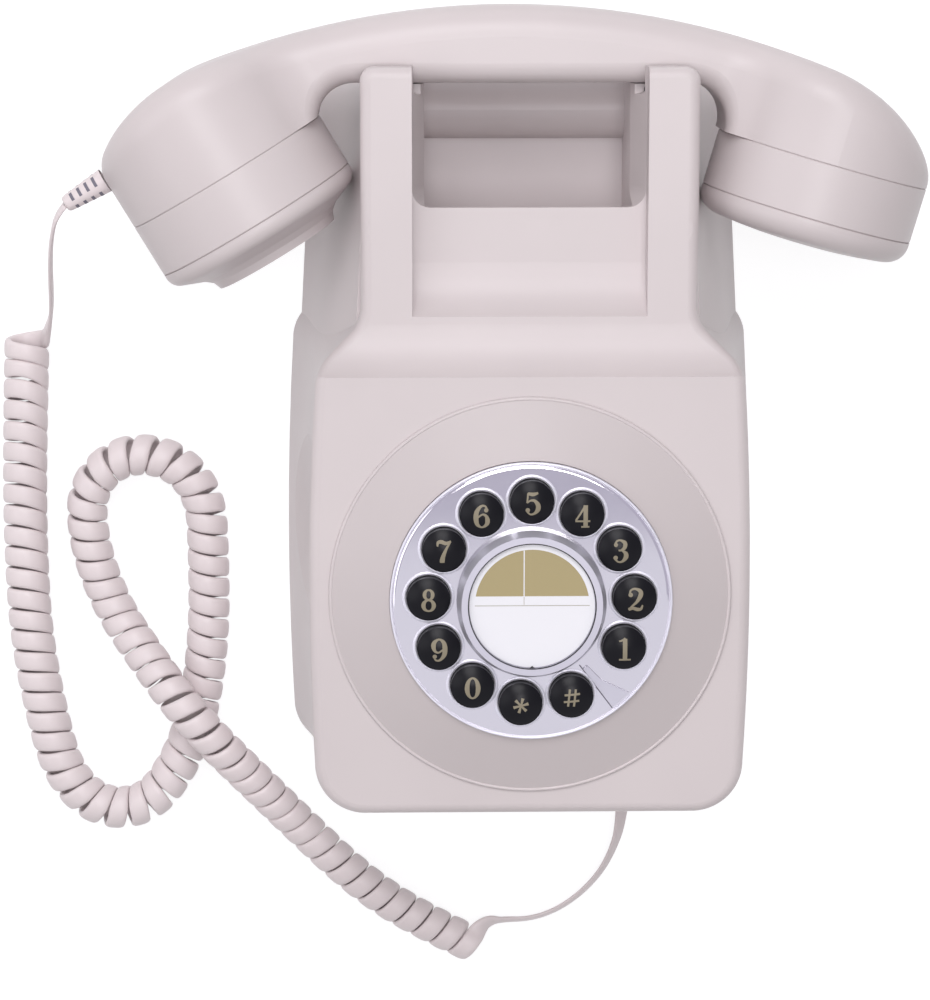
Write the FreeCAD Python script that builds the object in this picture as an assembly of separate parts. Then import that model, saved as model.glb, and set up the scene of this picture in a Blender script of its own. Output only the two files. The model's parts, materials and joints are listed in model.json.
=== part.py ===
import FreeCAD, Part
import math
import os

# Wall telephone with a ring of twelve round keys in a dial.
# Frame: X to the right, Y up the wall, Z out of the wall. Origin on the wall plane,
# midway between the two wall keyholes. All lengths are in millimetres.

V = FreeCAD.Vector
AXIS_X = V(1, 0, 0)
AXIS_Y = V(0, 1, 0)
AXIS_Z = V(0, 0, 1)

# Case: overall form
body_depth = 82.0          # wall plane to the dial face
body_bottom = -100.0       # lower edge of the dial face
dial_y = -38.0             # height of the dial axis
front_half_low = 59.5      # half width of the dial face at its lower corners
front_half_mid = 60.7      # half width at the dial axis
shoulder_half = 58.8       # half width where the shoulders begin
shoulder_y = 24.0
shoulder_round = 12.0
neck_round = 10.0
corner_radius = 14.0
face_top = 22.5            # upper edge of the dial face
cove_top = 36.0            # where the cove runs out into the pillars
wall = 2.4
edge_round = 3.0
flare_base = 8.0           # how much wider each side is at the wall
flare_waist = 2.3
waist_sink = 12.0          # the waist stands this far above the lowest side of the handset's caps
bottom_flare = 1.2

# Case: cradle pillars, saddle and hand hollow
pillar_half = 46.0
pillar_inner = 32.0
pillar_step = 8.0          # pillar faces behind the dial face
pillar_thick = 10.0
pillar_round = 2.0
lip_height = 5.3
saddle_y = 100.0
saddle_width = 32.0
panel_set_back = 8.0
panel_run = 14.0           # length of the curve at the panel's foot
panel_top = 67.0
hollow_half = 28.5         # half width behind its sloping sides
hollow_slope = 15.0        # depth of the sloping sides
hollow_floor = 50.0
hollow_back = 22.0
hollow_round = 5.0
hollow_wall = 2.0
rail_radius = 8.5
notch_radius = 2.75

# Case: tower behind the pillars
tower_low = (-10.0, 20.0, 24.0)         # at the wall, the waist and the pillar backs
tower_half_low = (66.5, 59.3, 48.0)
tower_top_half = 49.0      # at the waist
tower_top_flare = 12.0     # wider by this at the wall
tower_top_step = 4.5       # narrower by this at the pillar backs
tower_corner = 12.0

# Case: loudspeaker dish on the left side
dish_radius = 24.0
dish_depth = 3.0
dish_y = -23.0
dish_z = 50.0
slot_count = 8
slot_pitch = 5.0
slot_width = 1.4
speaker_radius = 20.0
speaker_depth = 10.0

# Dial
surround_radius = 54.8
surround_rim = 0.6         # the rim stands this far out of the dial face
surround_rise = 5.6
surround_recess = 1.2
surround_wall = 2.0
disc_radius = 38.0
disc_thick = 3.4
disc_gap = 0.6
disc_proud = 1.4           # the disc stands this far out of its ring
key_circle = 28.0
key_radius = 5.9
key_clearance = 0.45
key_bevel = 0.5
key_flange = 0.6
key_flange_thick = 1.8
key_stand = 3.0            # straight side of a key above the disc
key_dome = 1.8
key_travel = 2.0
key_pitch = 29.0
key_first = -26.0          # angle of the key 1
hub_radius = 20.3
hub_bore = 17.4
hub_height = 6.4
label_radius = 17.0
label_thick = 0.5
lens_thick = 1.2
stop_thick = 0.8
stop_outline = ((23.4, -52.8), (36.8, -52.5), (36.8, -43.5), (29.0, -48.6),
                (23.4, -49.4))   # radius and angle
fit = 0.3                  # general clearance between neighbouring pieces
rest_gap = 0.4             # between the handset and the saddle

# Keypad and boards
board_thick = 1.6
keypad_radius = 44.0
mat_radius = 34.8
mat_thick = 1.4
mat_dome = 1.2
mat_dome_radius = 4.2
keypad_post_circle = 40.0
keypad_post_radius = 3.0
main_board_size = (92.0, 62.0)
main_board_y = -64.0
main_board_z = 12.0
ribbon_width = 12.0
ribbon_thick = 0.8
ribbon_x = -14.0
ribbon_y = -72.0
plug_depth = 5.0
plug_half = 2.5
plug_wall = 1.0
post_inset = 5.0           # board posts from the board's corners
chip_size = (18.0, 10.0, 3.5)
chip_place = (1.0, 7.0)    # from the board's middle
coil_size = (16.0, 16.0, 13.0)
coil_place = (26.0, 0.0)
can_places = ((-32.0, 14.0), (-22.0, 18.0))
can_radius = 4.0
can_height = 11.0

# Back plate and fasteners
plate_thick = 4.0
plate_gap = 1.4
keyhole_spacing = 83.0
keyhole_radius = 4.5
keyhole_slot = 2.3
keyhole_rise = 9.0
screw_head_radius = 3.0
screw_head = 1.8
screw_radius = 1.5
screw_length = 12.0
boss_radius = 4.0
boss_places = ((-48.0, -86.0), (48.0, -86.0), (-40.2, 62.0), (40.2, 62.0))
board_screw_length = 7.0

# Hook switch
plunger_x = 33.7
plunger_set_back = 7.0     # plunger axis behind the pillars' backs
plunger_radius = 1.9
plunger_travel = 6.0
guide_length = 10.0
yoke_height = 6.0
yoke_depth = 6.0
yoke_y = 34.0
bracket_thick = 1.6
bracket_y = 16.0
bracket_half = 36.0
bracket_foot = 12.0
peg_length = 5.0
spring_set_back = 2.0      # spring axis behind the plunger axis
spring_radius = 3.6
spring_wire = 0.9
spring_turns = 6
switch_size = (20.0, 9.0, 8.0)
switch_x = 22.0

# Bottom wall: slide switches, line socket and cord gland
slider_places = (("volume", -15.0), ("tone", 9.5))
slider_z = 66.0
slider_width = 4.6
slider_height = 3.0
slider_reach = 3.4
slider_travel = 4.0
slider_body = (15.0, 7.0, 7.0)
socket_x = -26.0
socket_size = (14.0, 16.0, 13.0)
socket_hole = (9.8, 11.0, 6.8)
gland_x = 31.5
gland_z = 9.0
gland_radius = 3.4
gland_tip = 2.1
gland_length = 14.0
gland_flange = 5.0

# Handset
handset_x = -4.5
cap_level = 68.0           # height where the caps come nearest to the tower
ridge_y = 121.4
arch_radius = 230.0
handle_half = 14.0         # half the handle's depth
arch_reach = 34.0          # from the tower's side to the end of the arched ridge
neck_radius = 18.0
neck_run = 10.0
cap_radius = 30.0
mouth_tilt = 31.0
mouth_reach = 31.3         # from the tower's side to the middle of the mouthpiece
mouth_drop = 28.8          # from the end of the arched ridge down to it
mouth_side = 19.0          # straight outer side of the mouthpiece bell
ear_tilt = 16.0
ear_reach = 30.5
ear_drop = 25.7
ear_side = 3.0
collar_height = 15.8
collar_wall = 3.4
seam = 0.45                # bevel at the edges of a collar
cap_lip = 1.0              # straight side of a cap
mouth_cap = ((27.9, 4.6), (21.4, 7.3), (19.4, 9.0), (18.6, 11.2))   # radius and depth: lip, foot, step, face
ear_cap = ((24.4, 6.8), (20.0, 7.4), (16.0, 7.8), (12.0, 8.0))
cap_wall = 2.2
pocket_radius = 24.0
pocket_depth = 9.0
capsule_radius = 21.0
capsule_depth = 12.0
weight_size = (60.0, 9.0, 14.0)
shell_round = 8.5
under_round = 5.5
sound_hole = 1.5
sound_circle = 8.0
sound_count = 6
boot_along = 15.0          # from the seam along the outer side of the mouthpiece bell
boot_length = 13.0
boot_root = 3.5
boot_tip = 2.3
boot_slots = 5
boot_plug = 5.0

# Cords
cord_radius = 1.2          # plain leads
lead_straight = 6.8        # straight run of a lead at each end
lead_gap = 0.2
curl_wire = 3.0            # wound stretch
curl_outer = 11.6
curl_pitch = 6.2
route_handset_lead = [(0.384, 0.145, 0.090), (0.642, 0.371, 0.217), (0.785, 0.583, 0.385),
                      (0.885, 0.768, 0.572),
                      (0.971, 0.925, 0.768)]      # shares of the way from the boot to the wound stretch
route_curl = [(-144.5, 24.0, 6.2), (-146.0, -8.0, 6.2), (-146.5, -38.0, 6.2), (-145.5, -66.0, 6.2),
              (-141.0, -92.0, 6.2), (-136.5, -108.5, 6.2), (-126.0, -119.0, 6.2), (-111.5, -118.0, 6.2),
              (-101.5, -104.5, 6.2), (-95.5, -87.0, 6.2), (-92.5, -64.0, 6.2), (-92.3, -42.0, 6.2),
              (-93.0, -22.5, 6.2), (-103.0, -11.5, 6.2), (-118.0, -10.5, 6.2), (-128.5, -21.0, 6.2),
              (-127.5, -39.0, 6.2), (-121.0, -57.0, 6.2), (-111.0, -70.5, 12.5), (-101.5, -82.0, 19.0),
              (-91.5, -94.0, 19.0), (-80.0, -108.0, 12.5), (-66.5, -124.0, 6.2), (-50.0, -140.5, 6.2),
              (-33.0, -153.5, 6.2), (-15.5, -163.0, 6.2)]
route_base_lead = [(-3.5, -152.5, 7.0), (5.0, -156.2, 2.6), (12.5, -154.2, 1.6), (19.3, -148.3, 1.9),
                   (25.0, -140.3, 3.2), (29.0, -131.5, 5.4), (31.2, -122.8, 8.0)]

# Values that follow from the sizes above
pillar_front = body_depth - pillar_step
pillar_top = saddle_y + lip_height
pillar_back = pillar_front - pillar_thick
panel_front = pillar_front - panel_set_back
saddle_back = pillar_back - saddle_width
handset_z = pillar_back - saddle_width / 2
plunger_z = pillar_back - plunger_set_back
waist_z = handset_z - cap_radius + waist_sink
disc_seat = body_depth + surround_rim + surround_rise + disc_proud - disc_thick
disc_top = disc_seat + disc_thick
key_hole = key_radius + key_clearance
flange_top = disc_seat - fit
mat_top = flange_top - key_flange_thick - key_travel - fit
mat_floor = mat_top - mat_dome - mat_thick
keypad_z = mat_floor - board_thick
speaker_seat = front_half_mid - dish_depth - wall + 0.6
under_y = saddle_y + rest_gap
tower_half_top = (tower_top_half + tower_top_flare, tower_top_half, tower_top_half - tower_top_step)
tower_rise = (cap_level - tower_low[1]) / (saddle_y - tower_corner - tower_low[1])
tower_side = tower_half_low[1] + (tower_half_top[1] - tower_half_low[1]) * tower_rise
tower_lean = (tower_half_top[0] - tower_half_top[1]) * plate_thick / waist_z
arch_half = tower_side + arch_reach
arch_end = ridge_y - arch_radius + math.sqrt(arch_radius ** 2 - arch_half ** 2)
mouth_centre = (-tower_side - mouth_reach, arch_end - mouth_drop)
ear_centre = (tower_side + ear_reach, arch_end - ear_drop)
curl_radius = (curl_outer - curl_wire) / 2
spring_z = plunger_z - spring_set_back


def box(x0, x1, y0, y1, z0, z1):
    return Part.makeBox(x1 - x0, y1 - y0, z1 - z0, V(x0, y0, z0))


def rod(radius, start, end):
    start = V(*start)
    axis = V(*end) - start
    return Part.makeCylinder(radius, axis.Length, start, axis)


def spun(profile, base, axis):
    """Revolve (radius, height) points about an axis through base."""
    corners = [V(r, 0, h) for r, h in profile]
    return turned([line(a, b) for a, b in zip(corners, corners[1:] + corners[:1])], base, axis)


def turned(edges, base, axis):
    """Revolve edges drawn in the XZ plane about an axis through base."""
    solid = Part.Face(Part.Wire(Part.__sortEdges__(edges))).revolve(V(), AXIS_Z, 360)
    solid.Placement = FreeCAD.Placement(V(*base), FreeCAD.Rotation(AXIS_Z, V(*axis)))
    return solid


def arc(a, b, c):
    return Part.Arc(V(*a), V(*b), V(*c)).toShape()


def line(a, b):
    return Part.LineSegment(V(*a), V(*b)).toShape()


def arc_middle(start, way, end):
    """Middle of the arc that leaves start along a direction and reaches end."""
    chord = end - start
    straight = V(chord).normalize()
    half = way.getAngle(straight)
    return start + (way + straight).normalize() * (chord.Length / (2 * math.cos(half / 2)))


def merged(solids):
    whole = solids[0].fuse(solids[1:])
    return whole.removeSplitter()


# Case

def block_wire(z, flare, inset):
    """Front outline of the dial block and pillars at one height, widened by the flare."""
    low = front_half_low + flare - inset
    mid = front_half_mid + flare - inset
    high = shoulder_half + flare - inset
    bottom = body_bottom - bottom_flare * flare / flare_base + inset
    corner = corner_radius - inset
    half = pillar_half - inset
    shoulder = shoulder_y + flare / 2 - inset * math.tan(math.radians(22.5))
    neck = shoulder + high - half
    top = pillar_top - inset
    top_corner = pillar_round + 2.0 - inset / 2
    bend = 1 - math.sqrt(0.5)
    edges = [line((corner - low, bottom, z), (low - corner, bottom, z))]
    slant = V(-1, 1, 0).normalize()
    outer_cut = (shoulder_round - inset) * math.tan(math.radians(22.5))
    inner_cut = (neck_round + inset) * math.tan(math.radians(22.5))
    side_end = V(high, shoulder - outer_cut, z)
    slant_start = V(high, shoulder, z) + slant * outer_cut
    slant_end = V(half, neck, z) - slant * inner_cut
    pillar_start = V(half, neck + inner_cut, z)
    right = [
        arc((low - corner, bottom, z), (low - corner * bend, bottom + corner * bend, z),
            (low, bottom + corner, z)),
        arc((low, bottom + corner, z), (mid, dial_y, z), side_end),
        arc(side_end, arc_middle(slant_start, slant * -1, side_end), slant_start),
        line(slant_start, slant_end),
        arc(slant_end, arc_middle(slant_end, slant, pillar_start), pillar_start),
        line(pillar_start, (half, top - top_corner, z)),
        arc((half, top - top_corner, z), (half - top_corner * bend, top - top_corner * bend, z),
            (half - top_corner, top, z)),
    ]
    left = [e.mirror(V(), AXIS_X) for e in right]
    edges += right + [line((half - top_corner, top, z), (top_corner - half, top, z))] + left
    return Part.Wire(Part.__sortEdges__(edges))


def tower_wire(level, z, inset):
    """Outline of the tower behind the pillars at one height."""
    low = tower_half_low[level] - inset
    high = tower_half_top[level] - inset
    bottom = tower_low[level]
    top = saddle_y - inset
    corner = tower_corner - inset
    bend = 1 - math.sqrt(0.5)
    edges = [line((-low, bottom, z), (low, bottom, z))]
    right = [
        line((low, bottom, z), (high, top - corner, z)),
        arc((high, top - corner, z), (high - corner * bend, top - corner * bend, z), (high - corner, top, z)),
    ]
    left = [e.mirror(V(), AXIS_X) for e in right]
    edges += right + [line((high - corner, top, z), (corner - high, top, z))] + left
    return Part.Wire(Part.__sortEdges__(edges))


def front_profile(inset):
    """Side profile of the front: dial face, cove and pillar face, as a solid across the whole width."""
    face = body_depth - inset
    pillar = pillar_front - inset
    edge = face_top - inset
    rise = face - pillar
    run = cove_top - face_top
    radius = (run ** 2 + rise ** 2) / (2 * rise)
    angle = math.asin(run / radius) / 2
    middle = (0, cove_top - inset - radius * math.sin(angle), pillar + radius * (1 - math.cos(angle)))
    start = (0, edge, face)
    end = (0, cove_top - inset, pillar)
    low = (0, body_bottom - corner_radius, face)
    far = (0, pillar_top + corner_radius, pillar)
    low_back = (0, low[1], 0)
    far_back = (0, far[1], 0)
    edges = [line(low, start), arc(start, middle, end), line(end, far), line(far, far_back),
             line(far_back, low_back), line(low_back, low)]
    reach = front_half_mid + flare_base + corner_radius
    solid = Part.Face(Part.Wire(edges)).extrude(AXIS_X * (2 * reach))
    solid.translate(AXIS_X * -reach)
    return solid


def body_form(inset):
    """Dial block with pillars, cut to the front profile."""
    wires = [block_wire(0, flare_base, inset), block_wire(waist_z, flare_waist, inset),
             block_wire(body_depth, 0, inset)]
    return Part.makeLoft(wires, True, False).common(front_profile(inset))


def tower_form(inset):
    heights = (0, waist_z, pillar_back - inset)
    return Part.makeLoft([tower_wire(i, z, inset) for i, z in enumerate(heights)], True, False)


def front_edges(solid):
    """Edges where the dial face, the cove and the pillar face meet the sides."""
    picked = []
    for edge in solid.Edges:
        middle = edge.valueAt((edge.FirstParameter + edge.LastParameter) / 2)
        across = abs(edge.BoundBox.YLength) < 0.01 and abs(edge.BoundBox.ZLength) < 0.01
        inner = across and middle.y > body_bottom + corner_radius and middle.y < pillar_top - 1
        if middle.z > pillar_front - 0.01 and not inner:
            picked.append(edge)
    return picked


def window_wire(half, z):
    """Outline of the hand hollow at one height, with rounded lower corners."""
    top = pillar_top + lip_height
    low = panel_top
    side = half - hollow_round
    bend = hollow_round * (1 - math.sqrt(0.5))
    right = [
        line((half, top, z), (half, low + hollow_round, z)),
        arc((half, low + hollow_round, z), (half - bend, low + bend, z), (side, low, z)),
    ]
    left = [e.mirror(V(), AXIS_X) for e in right]
    edges = right + left + [line((-side, low, z), (side, low, z)), line((-half, top, z), (half, top, z))]
    return Part.Wire(Part.__sortEdges__(edges))


def hollow_cut():
    """Hand hollow between the pillars: open above the panel, with sloping sides and a pocket behind it."""
    deep = panel_front - hollow_slope
    mouth = Part.Face(window_wire(pillar_inner, panel_front)).extrude(AXIS_Z * (body_depth - panel_front))
    slope = Part.makeLoft([window_wire(hollow_half, deep), window_wire(pillar_inner, panel_front)], True,
                          True)
    well = Part.Face(window_wire(hollow_half, hollow_back)).extrude(AXIS_Z * (deep - hollow_back))
    pocket = box(-hollow_half, hollow_half, hollow_floor, panel_top + hollow_round, hollow_back,
                 panel_front - hollow_wall)
    return mouth.fuse([slope, well, pocket])


def panel_cut():
    """Recess between the pillars, running out in a curve at its foot."""
    foot = cove_top + 2.0
    high = pillar_top + lip_height
    radius = (panel_run ** 2 + panel_set_back ** 2) / (2 * panel_set_back)
    angle = math.asin(panel_run / radius) / 2
    middle = (0, foot + panel_run - radius * math.sin(angle), panel_front + radius * (1 - math.cos(angle)))
    edges = [arc((0, foot, pillar_front), middle, (0, foot + panel_run, panel_front)),
             line((0, foot + panel_run, panel_front), (0, high, panel_front)),
             line((0, high, panel_front), (0, high, body_depth)),
             line((0, high, body_depth), (0, foot, body_depth)),
             line((0, foot, body_depth), (0, foot, pillar_front))]
    solid = Part.Face(Part.Wire(edges)).extrude(AXIS_X * (2 * pillar_inner))
    solid.translate(AXIS_X * -pillar_inner)
    return solid


def case_cavity():
    """Inside of the case, kept clear of the walls round the hand hollow."""
    space = body_form(wall).fuse(tower_form(wall))
    half = hollow_half + hollow_wall
    keep = [
        box(-half, half, hollow_floor - hollow_wall, pillar_top, hollow_back - hollow_wall, body_depth),
        box(-pillar_inner - wall, pillar_inner + wall, panel_top - wall, pillar_top,
            panel_front - hollow_slope, body_depth),
        box(-pillar_inner - wall, pillar_inner + wall, cove_top, pillar_top, panel_front - hollow_wall,
            body_depth),
        box(-pillar_half, pillar_half, saddle_y - wall, pillar_top, 0, pillar_back + wall),
    ]
    for side in (-1, 1):
        x0, x1 = sorted((side * pillar_inner, side * (plunger_x + plunger_radius + wall)))
        keep.append(box(x0, x1, saddle_y - guide_length, saddle_y, plunger_z - plunger_radius - wall,
                        pillar_back))
    return space.cut(keep)


def front_case():
    """Moulded front of the telephone: dial block, cradle pillars, saddle and tower."""
    block = body_form(0)
    block = block.makeFillet(edge_round, front_edges(block))
    outer = block.fuse(tower_form(0))
    outer = outer.cut(box(-pillar_half - 1, pillar_half + 1, saddle_y, pillar_top + 1, saddle_back,
                          pillar_back))
    outer = outer.cut([hollow_cut(), panel_cut()])
    rail = rod(rail_radius, (-hollow_half, saddle_y - rail_radius, hollow_back),
               (hollow_half, saddle_y - rail_radius, hollow_back))
    rail = rail.common(box(-hollow_half, hollow_half, hollow_floor, saddle_y, hollow_back - hollow_wall,
                           body_depth))
    pad = rod(dish_radius + wall, (-front_half_mid - flare_base, dish_y, dish_z),
              (-speaker_seat, dish_y, dish_z))
    bosses = [rod(boss_radius, (x, y, plate_thick), (x, y, body_depth)) for x, y in boss_places]
    inner = merged([pad] + bosses).common(outer)
    case = outer.cut(case_cavity()).fuse([inner, rail])
    return case.cut(case_openings())


def case_openings():
    """Everything cut through the case walls."""
    cuts = [rod(surround_radius, (0, dial_y, body_depth - surround_recess), (0, dial_y, body_depth + wall)),
            rod(keypad_radius + 1, (0, dial_y, keypad_z - wall), (0, dial_y, body_depth))]
    cuts.append(speaker_dish())
    cuts += speaker_slots()
    for side in (-1, 1):
        cuts.append(rod(plunger_radius + fit, (side * plunger_x, panel_top - wall * 2, plunger_z),
                        (side * plunger_x, pillar_top, plunger_z)))
        notch_x = side * (hollow_half + notch_radius / 2)
        cuts.append(rod(notch_radius, (notch_x, saddle_y, plunger_z - plunger_radius),
                        (notch_x, saddle_y, pillar_back)))
    for x, y in boss_places:
        cuts.append(rod(screw_radius + fit / 3, (x, y, plate_thick), (x, y, plate_thick + screw_length)))
    low = body_bottom - flare_base
    for name, x in slider_places:
        cuts.append(box(x - slider_width / 2 - fit, x + slider_width / 2 + slider_travel + fit, low,
                        body_bottom + wall * 2,
                        slider_z - slider_height / 2 - fit, slider_z + slider_height / 2 + fit))
    width, depth, height = socket_size
    base = main_board_z + board_thick
    cuts.append(box(socket_x - width / 2 - fit, socket_x + width / 2 + fit, low, body_bottom + wall * 2,
                    base - fit, base + height + fit))
    cuts.append(rod(gland_radius + fit / 3, (gland_x, low, gland_z),
                    (gland_x, body_bottom + wall * 2, gland_z)))
    return cuts


def speaker_dish():
    """Shallow round dish on the left side, cut by a large ball."""
    ball = (dish_radius ** 2 + dish_depth ** 2) / (2 * dish_depth)
    centre = V(-speaker_seat - wall - ball + 0.6, dish_y, dish_z)
    return Part.makeSphere(ball, centre)


def speaker_slots():
    """Sound slots across the dish, each as long as the round pattern allows."""
    slots = []
    for i in range(slot_count):
        offset = (i - (slot_count - 1) / 2) * slot_pitch
        half = math.sqrt((speaker_radius - 1) ** 2 - offset ** 2)
        slots.append(box(-front_half_mid - flare_base, -speaker_seat + wall, dish_y + offset - slot_width / 2,
                         dish_y + offset + slot_width / 2, dish_z - half, dish_z + half))
    return slots


# Back plate and fasteners

def back_plate():
    """Wall plate with keyholes, board posts and the hook bracket's seat."""
    inset = wall + plate_gap
    outline = Part.Face(block_wire(0, flare_base, inset)).extrude(AXIS_Z * plate_thick)
    tower = Part.Face(tower_wire(0, 0, inset + tower_lean)).extrude(AXIS_Z * plate_thick)
    plate = merged([outline, tower])
    plate = plate.cut(box(-pillar_half, pillar_half, saddle_y - wall - plate_gap, pillar_top, 0, plate_thick))
    posts = [rod(keypad_post_radius, (x, y, plate_thick), (x, y, main_board_z)) for x, y in board_posts()]
    plate = merged([plate] + posts)
    cuts = []
    for y in (-keyhole_spacing / 2, keyhole_spacing / 2):
        cuts.append(rod(keyhole_radius, (0, y, 0), (0, y, plate_thick)))
        cuts.append(box(-keyhole_slot, keyhole_slot, y, y + keyhole_rise, 0, plate_thick))
        cuts.append(rod(keyhole_slot, (0, y + keyhole_rise, 0), (0, y + keyhole_rise, plate_thick)))
    for x, y in boss_places:
        cuts.append(rod(screw_radius + fit, (x, y, 0), (x, y, plate_thick)))
        cuts.append(rod(screw_head_radius + fit, (x, y, 0), (x, y, screw_head + fit)))
    for x, y in board_posts():
        cuts.append(rod(screw_radius + fit / 3, (x, y, main_board_z - board_screw_length),
                        (x, y, main_board_z)))
    return plate.cut(cuts)


def board_posts():
    width, height = main_board_size
    x = width / 2 - post_inset
    y = height / 2 - post_inset
    return [(sx * x, main_board_y + sy * y) for sx in (-1, 1) for sy in (-1, 1)]


def pan_screw(x, y, seat, length, way):
    """Round-headed screw whose head seats at a height and points along Z one way or the other."""
    head = rod(screw_head_radius, (x, y, seat), (x, y, seat - way * screw_head))
    return merged([head, rod(screw_radius, (x, y, seat), (x, y, seat + way * length))])


def case_screws():
    seat = screw_head + fit
    return Part.makeCompound([pan_screw(x, y, seat, screw_length, 1) for x, y in boss_places])


def board_screws():
    seat = main_board_z + board_thick
    return Part.makeCompound([pan_screw(x, y, seat, board_screw_length, -1) for x, y in board_posts()])


# Dial

def dial_point(radius, angle, z):
    turn = math.radians(angle)
    return V(radius * math.cos(turn), dial_y + radius * math.sin(turn), z)


def keypad_posts():
    return [dial_point(keypad_post_circle, angle, keypad_z + board_thick) for angle in (45, 135, 225, 315)]


def dial_surround():
    """Conical ring that carries the dial disc, with posts for the keypad board."""
    rim = body_depth + surround_rim
    floor = body_depth - surround_recess
    rise = disc_radius + disc_gap
    inner = key_circle + key_radius + key_flange + fit * 2
    top = rim + surround_rise
    outer = surround_radius - fit
    profile = [(outer, floor), (outer, rim), (rise, top), (rise, disc_seat), (inner, disc_seat),
               (inner, disc_seat - surround_wall), (rise, disc_seat - surround_wall), (keypad_radius, floor)]
    ring = spun(profile, (0, dial_y, 0), (0, 0, 1))
    under = disc_seat - surround_wall
    posts = [rod(keypad_post_radius, p, (p.x, p.y, under)) for p in keypad_posts()]
    bores = [rod(screw_radius + fit / 3, p, (p.x, p.y, p.z + board_screw_length)) for p in keypad_posts()]
    return merged([ring] + posts).cut(bores)


def dial_disc():
    """Bright disc with twelve chamfered key holes."""
    disc = rod(disc_radius, (0, dial_y, disc_seat), (0, dial_y, disc_top))
    disc = disc.makeFillet(disc_thick / 3, [e for e in disc.Edges if abs(e.BoundBox.ZMin - disc_top) < 0.01])
    cuts = [rod(hub_bore - surround_wall, (0, dial_y, disc_seat), (0, dial_y, disc_top))]
    for angle in key_angles().values():
        centre = dial_point(key_circle, angle, disc_seat)
        cuts.append(rod(key_hole, centre, centre + AXIS_Z * disc_thick))
        cuts.append(Part.makeCone(key_hole, key_hole + key_bevel, key_bevel,
                                  centre + AXIS_Z * (disc_thick - key_bevel), AXIS_Z))
    return disc.cut(cuts)


def key_angles():
    """Angle of each key round the dial, anticlockwise from the right."""
    names = ["1", "2", "3", "4", "5", "6", "7", "8", "9", "0", "star", "hash"]
    return {name: key_first + i * key_pitch for i, name in enumerate(names)}


def key(angle):
    """Round key with a domed top and a flange under the disc."""
    top = disc_top + key_stand
    crown = top + key_dome
    base = flange_top - key_flange_thick
    flange = key_radius + key_flange
    side = V(key_radius, 0, top)
    middle = arc_middle(V(0, 0, crown), AXIS_X, side)
    edges = [line((0, 0, base), (flange, 0, base)), line((flange, 0, base), (flange, 0, flange_top)),
             line((flange, 0, flange_top), (key_radius, 0, flange_top)),
             line((key_radius, 0, flange_top), side),
             arc(side, middle, (0, 0, crown)), line((0, 0, crown), (0, 0, base))]
    solid = Part.Face(Part.Wire(edges)).revolve(V(), AXIS_Z, 360)
    solid.translate(dial_point(key_circle, angle, 0))
    return solid


def hub_ring():
    """Bezel that holds the label and its lens at the middle of the disc."""
    foot = hub_bore - surround_wall - fit
    step = hub_height * 0.45
    profile = [(foot, -disc_thick + 0.6), (foot, 0), (hub_radius, 0), (hub_radius, step),
               (hub_radius - 1.2, hub_height),
               (hub_bore, hub_height), (hub_bore, hub_height - lens_thick - label_thick),
               (0, hub_height - lens_thick - label_thick),
               (0, -disc_thick + 0.6)]
    return spun(profile, (0, dial_y, disc_top), (0, 0, 1))


def label_card():
    base = disc_top + hub_height - lens_thick - label_thick
    return rod(label_radius, (0, dial_y, base), (0, dial_y, base + label_thick))


def label_lens():
    base = disc_top + hub_height - lens_thick
    lens = rod(label_radius + fit / 2, (0, dial_y, base), (0, dial_y, base + lens_thick))
    rim = [e for e in lens.Edges if abs(e.BoundBox.ZMin - base - lens_thick) < 0.01]
    return lens.makeFillet(lens_thick / 3, rim)


def finger_stop():
    """Thin plate lying on the disc in the gap between the last and first keys, wider at the rim."""
    corners = [dial_point(radius, angle, disc_top) for radius, angle in stop_outline]
    return Part.Face(Part.makePolygon(corners + corners[:1])).extrude(AXIS_Z * stop_thick)


def key_mat():
    """Rubber mat with one dome under each key."""
    mat = rod(mat_radius, (0, dial_y, mat_floor), (0, dial_y, mat_floor + mat_thick))
    domes = []
    for angle in key_angles().values():
        centre = dial_point(key_circle, angle, mat_floor + mat_thick)
        domes.append(Part.makeCone(mat_dome_radius, mat_dome_radius * 0.6, mat_dome, centre, AXIS_Z))
    return merged([mat] + domes)


def ribbon_plug(z0, z1, mouth):
    """Plug on a board, with a slot for the ribbon on its open side."""
    half = ribbon_width / 2
    plug = box(ribbon_x - half - plug_wall, ribbon_x + half + plug_wall, ribbon_y - plug_half,
               ribbon_y + plug_half, z0, z1)
    slot = box(ribbon_x - half - fit, ribbon_x + half + fit, ribbon_y - ribbon_thick / 2 - fit / 3,
               ribbon_y + ribbon_thick / 2 + fit / 3, z0 + plug_wall * mouth, z1 - plug_wall * (1 - mouth))
    return plug.cut(slot)


def keypad_board():
    board = rod(keypad_radius, (0, dial_y, keypad_z), (0, dial_y, keypad_z + board_thick))
    holes = [rod(screw_radius + fit, p - AXIS_Z * board_thick, p) for p in keypad_posts()]
    return merged([board.cut(holes), ribbon_plug(keypad_z - plug_depth, keypad_z, 0)])


def keypad_screws():
    return Part.makeCompound([pan_screw(p.x, p.y, keypad_z, board_screw_length - 1,
                                        1) for p in keypad_posts()])


# Inside the case

def board_block(size, place, top):
    """Block-shaped part standing on the main board."""
    width, height, depth = size
    x, y = place
    return box(x - width / 2, x + width / 2, main_board_y + y - height / 2, main_board_y + y + height / 2,
               top, top + depth)


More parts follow.
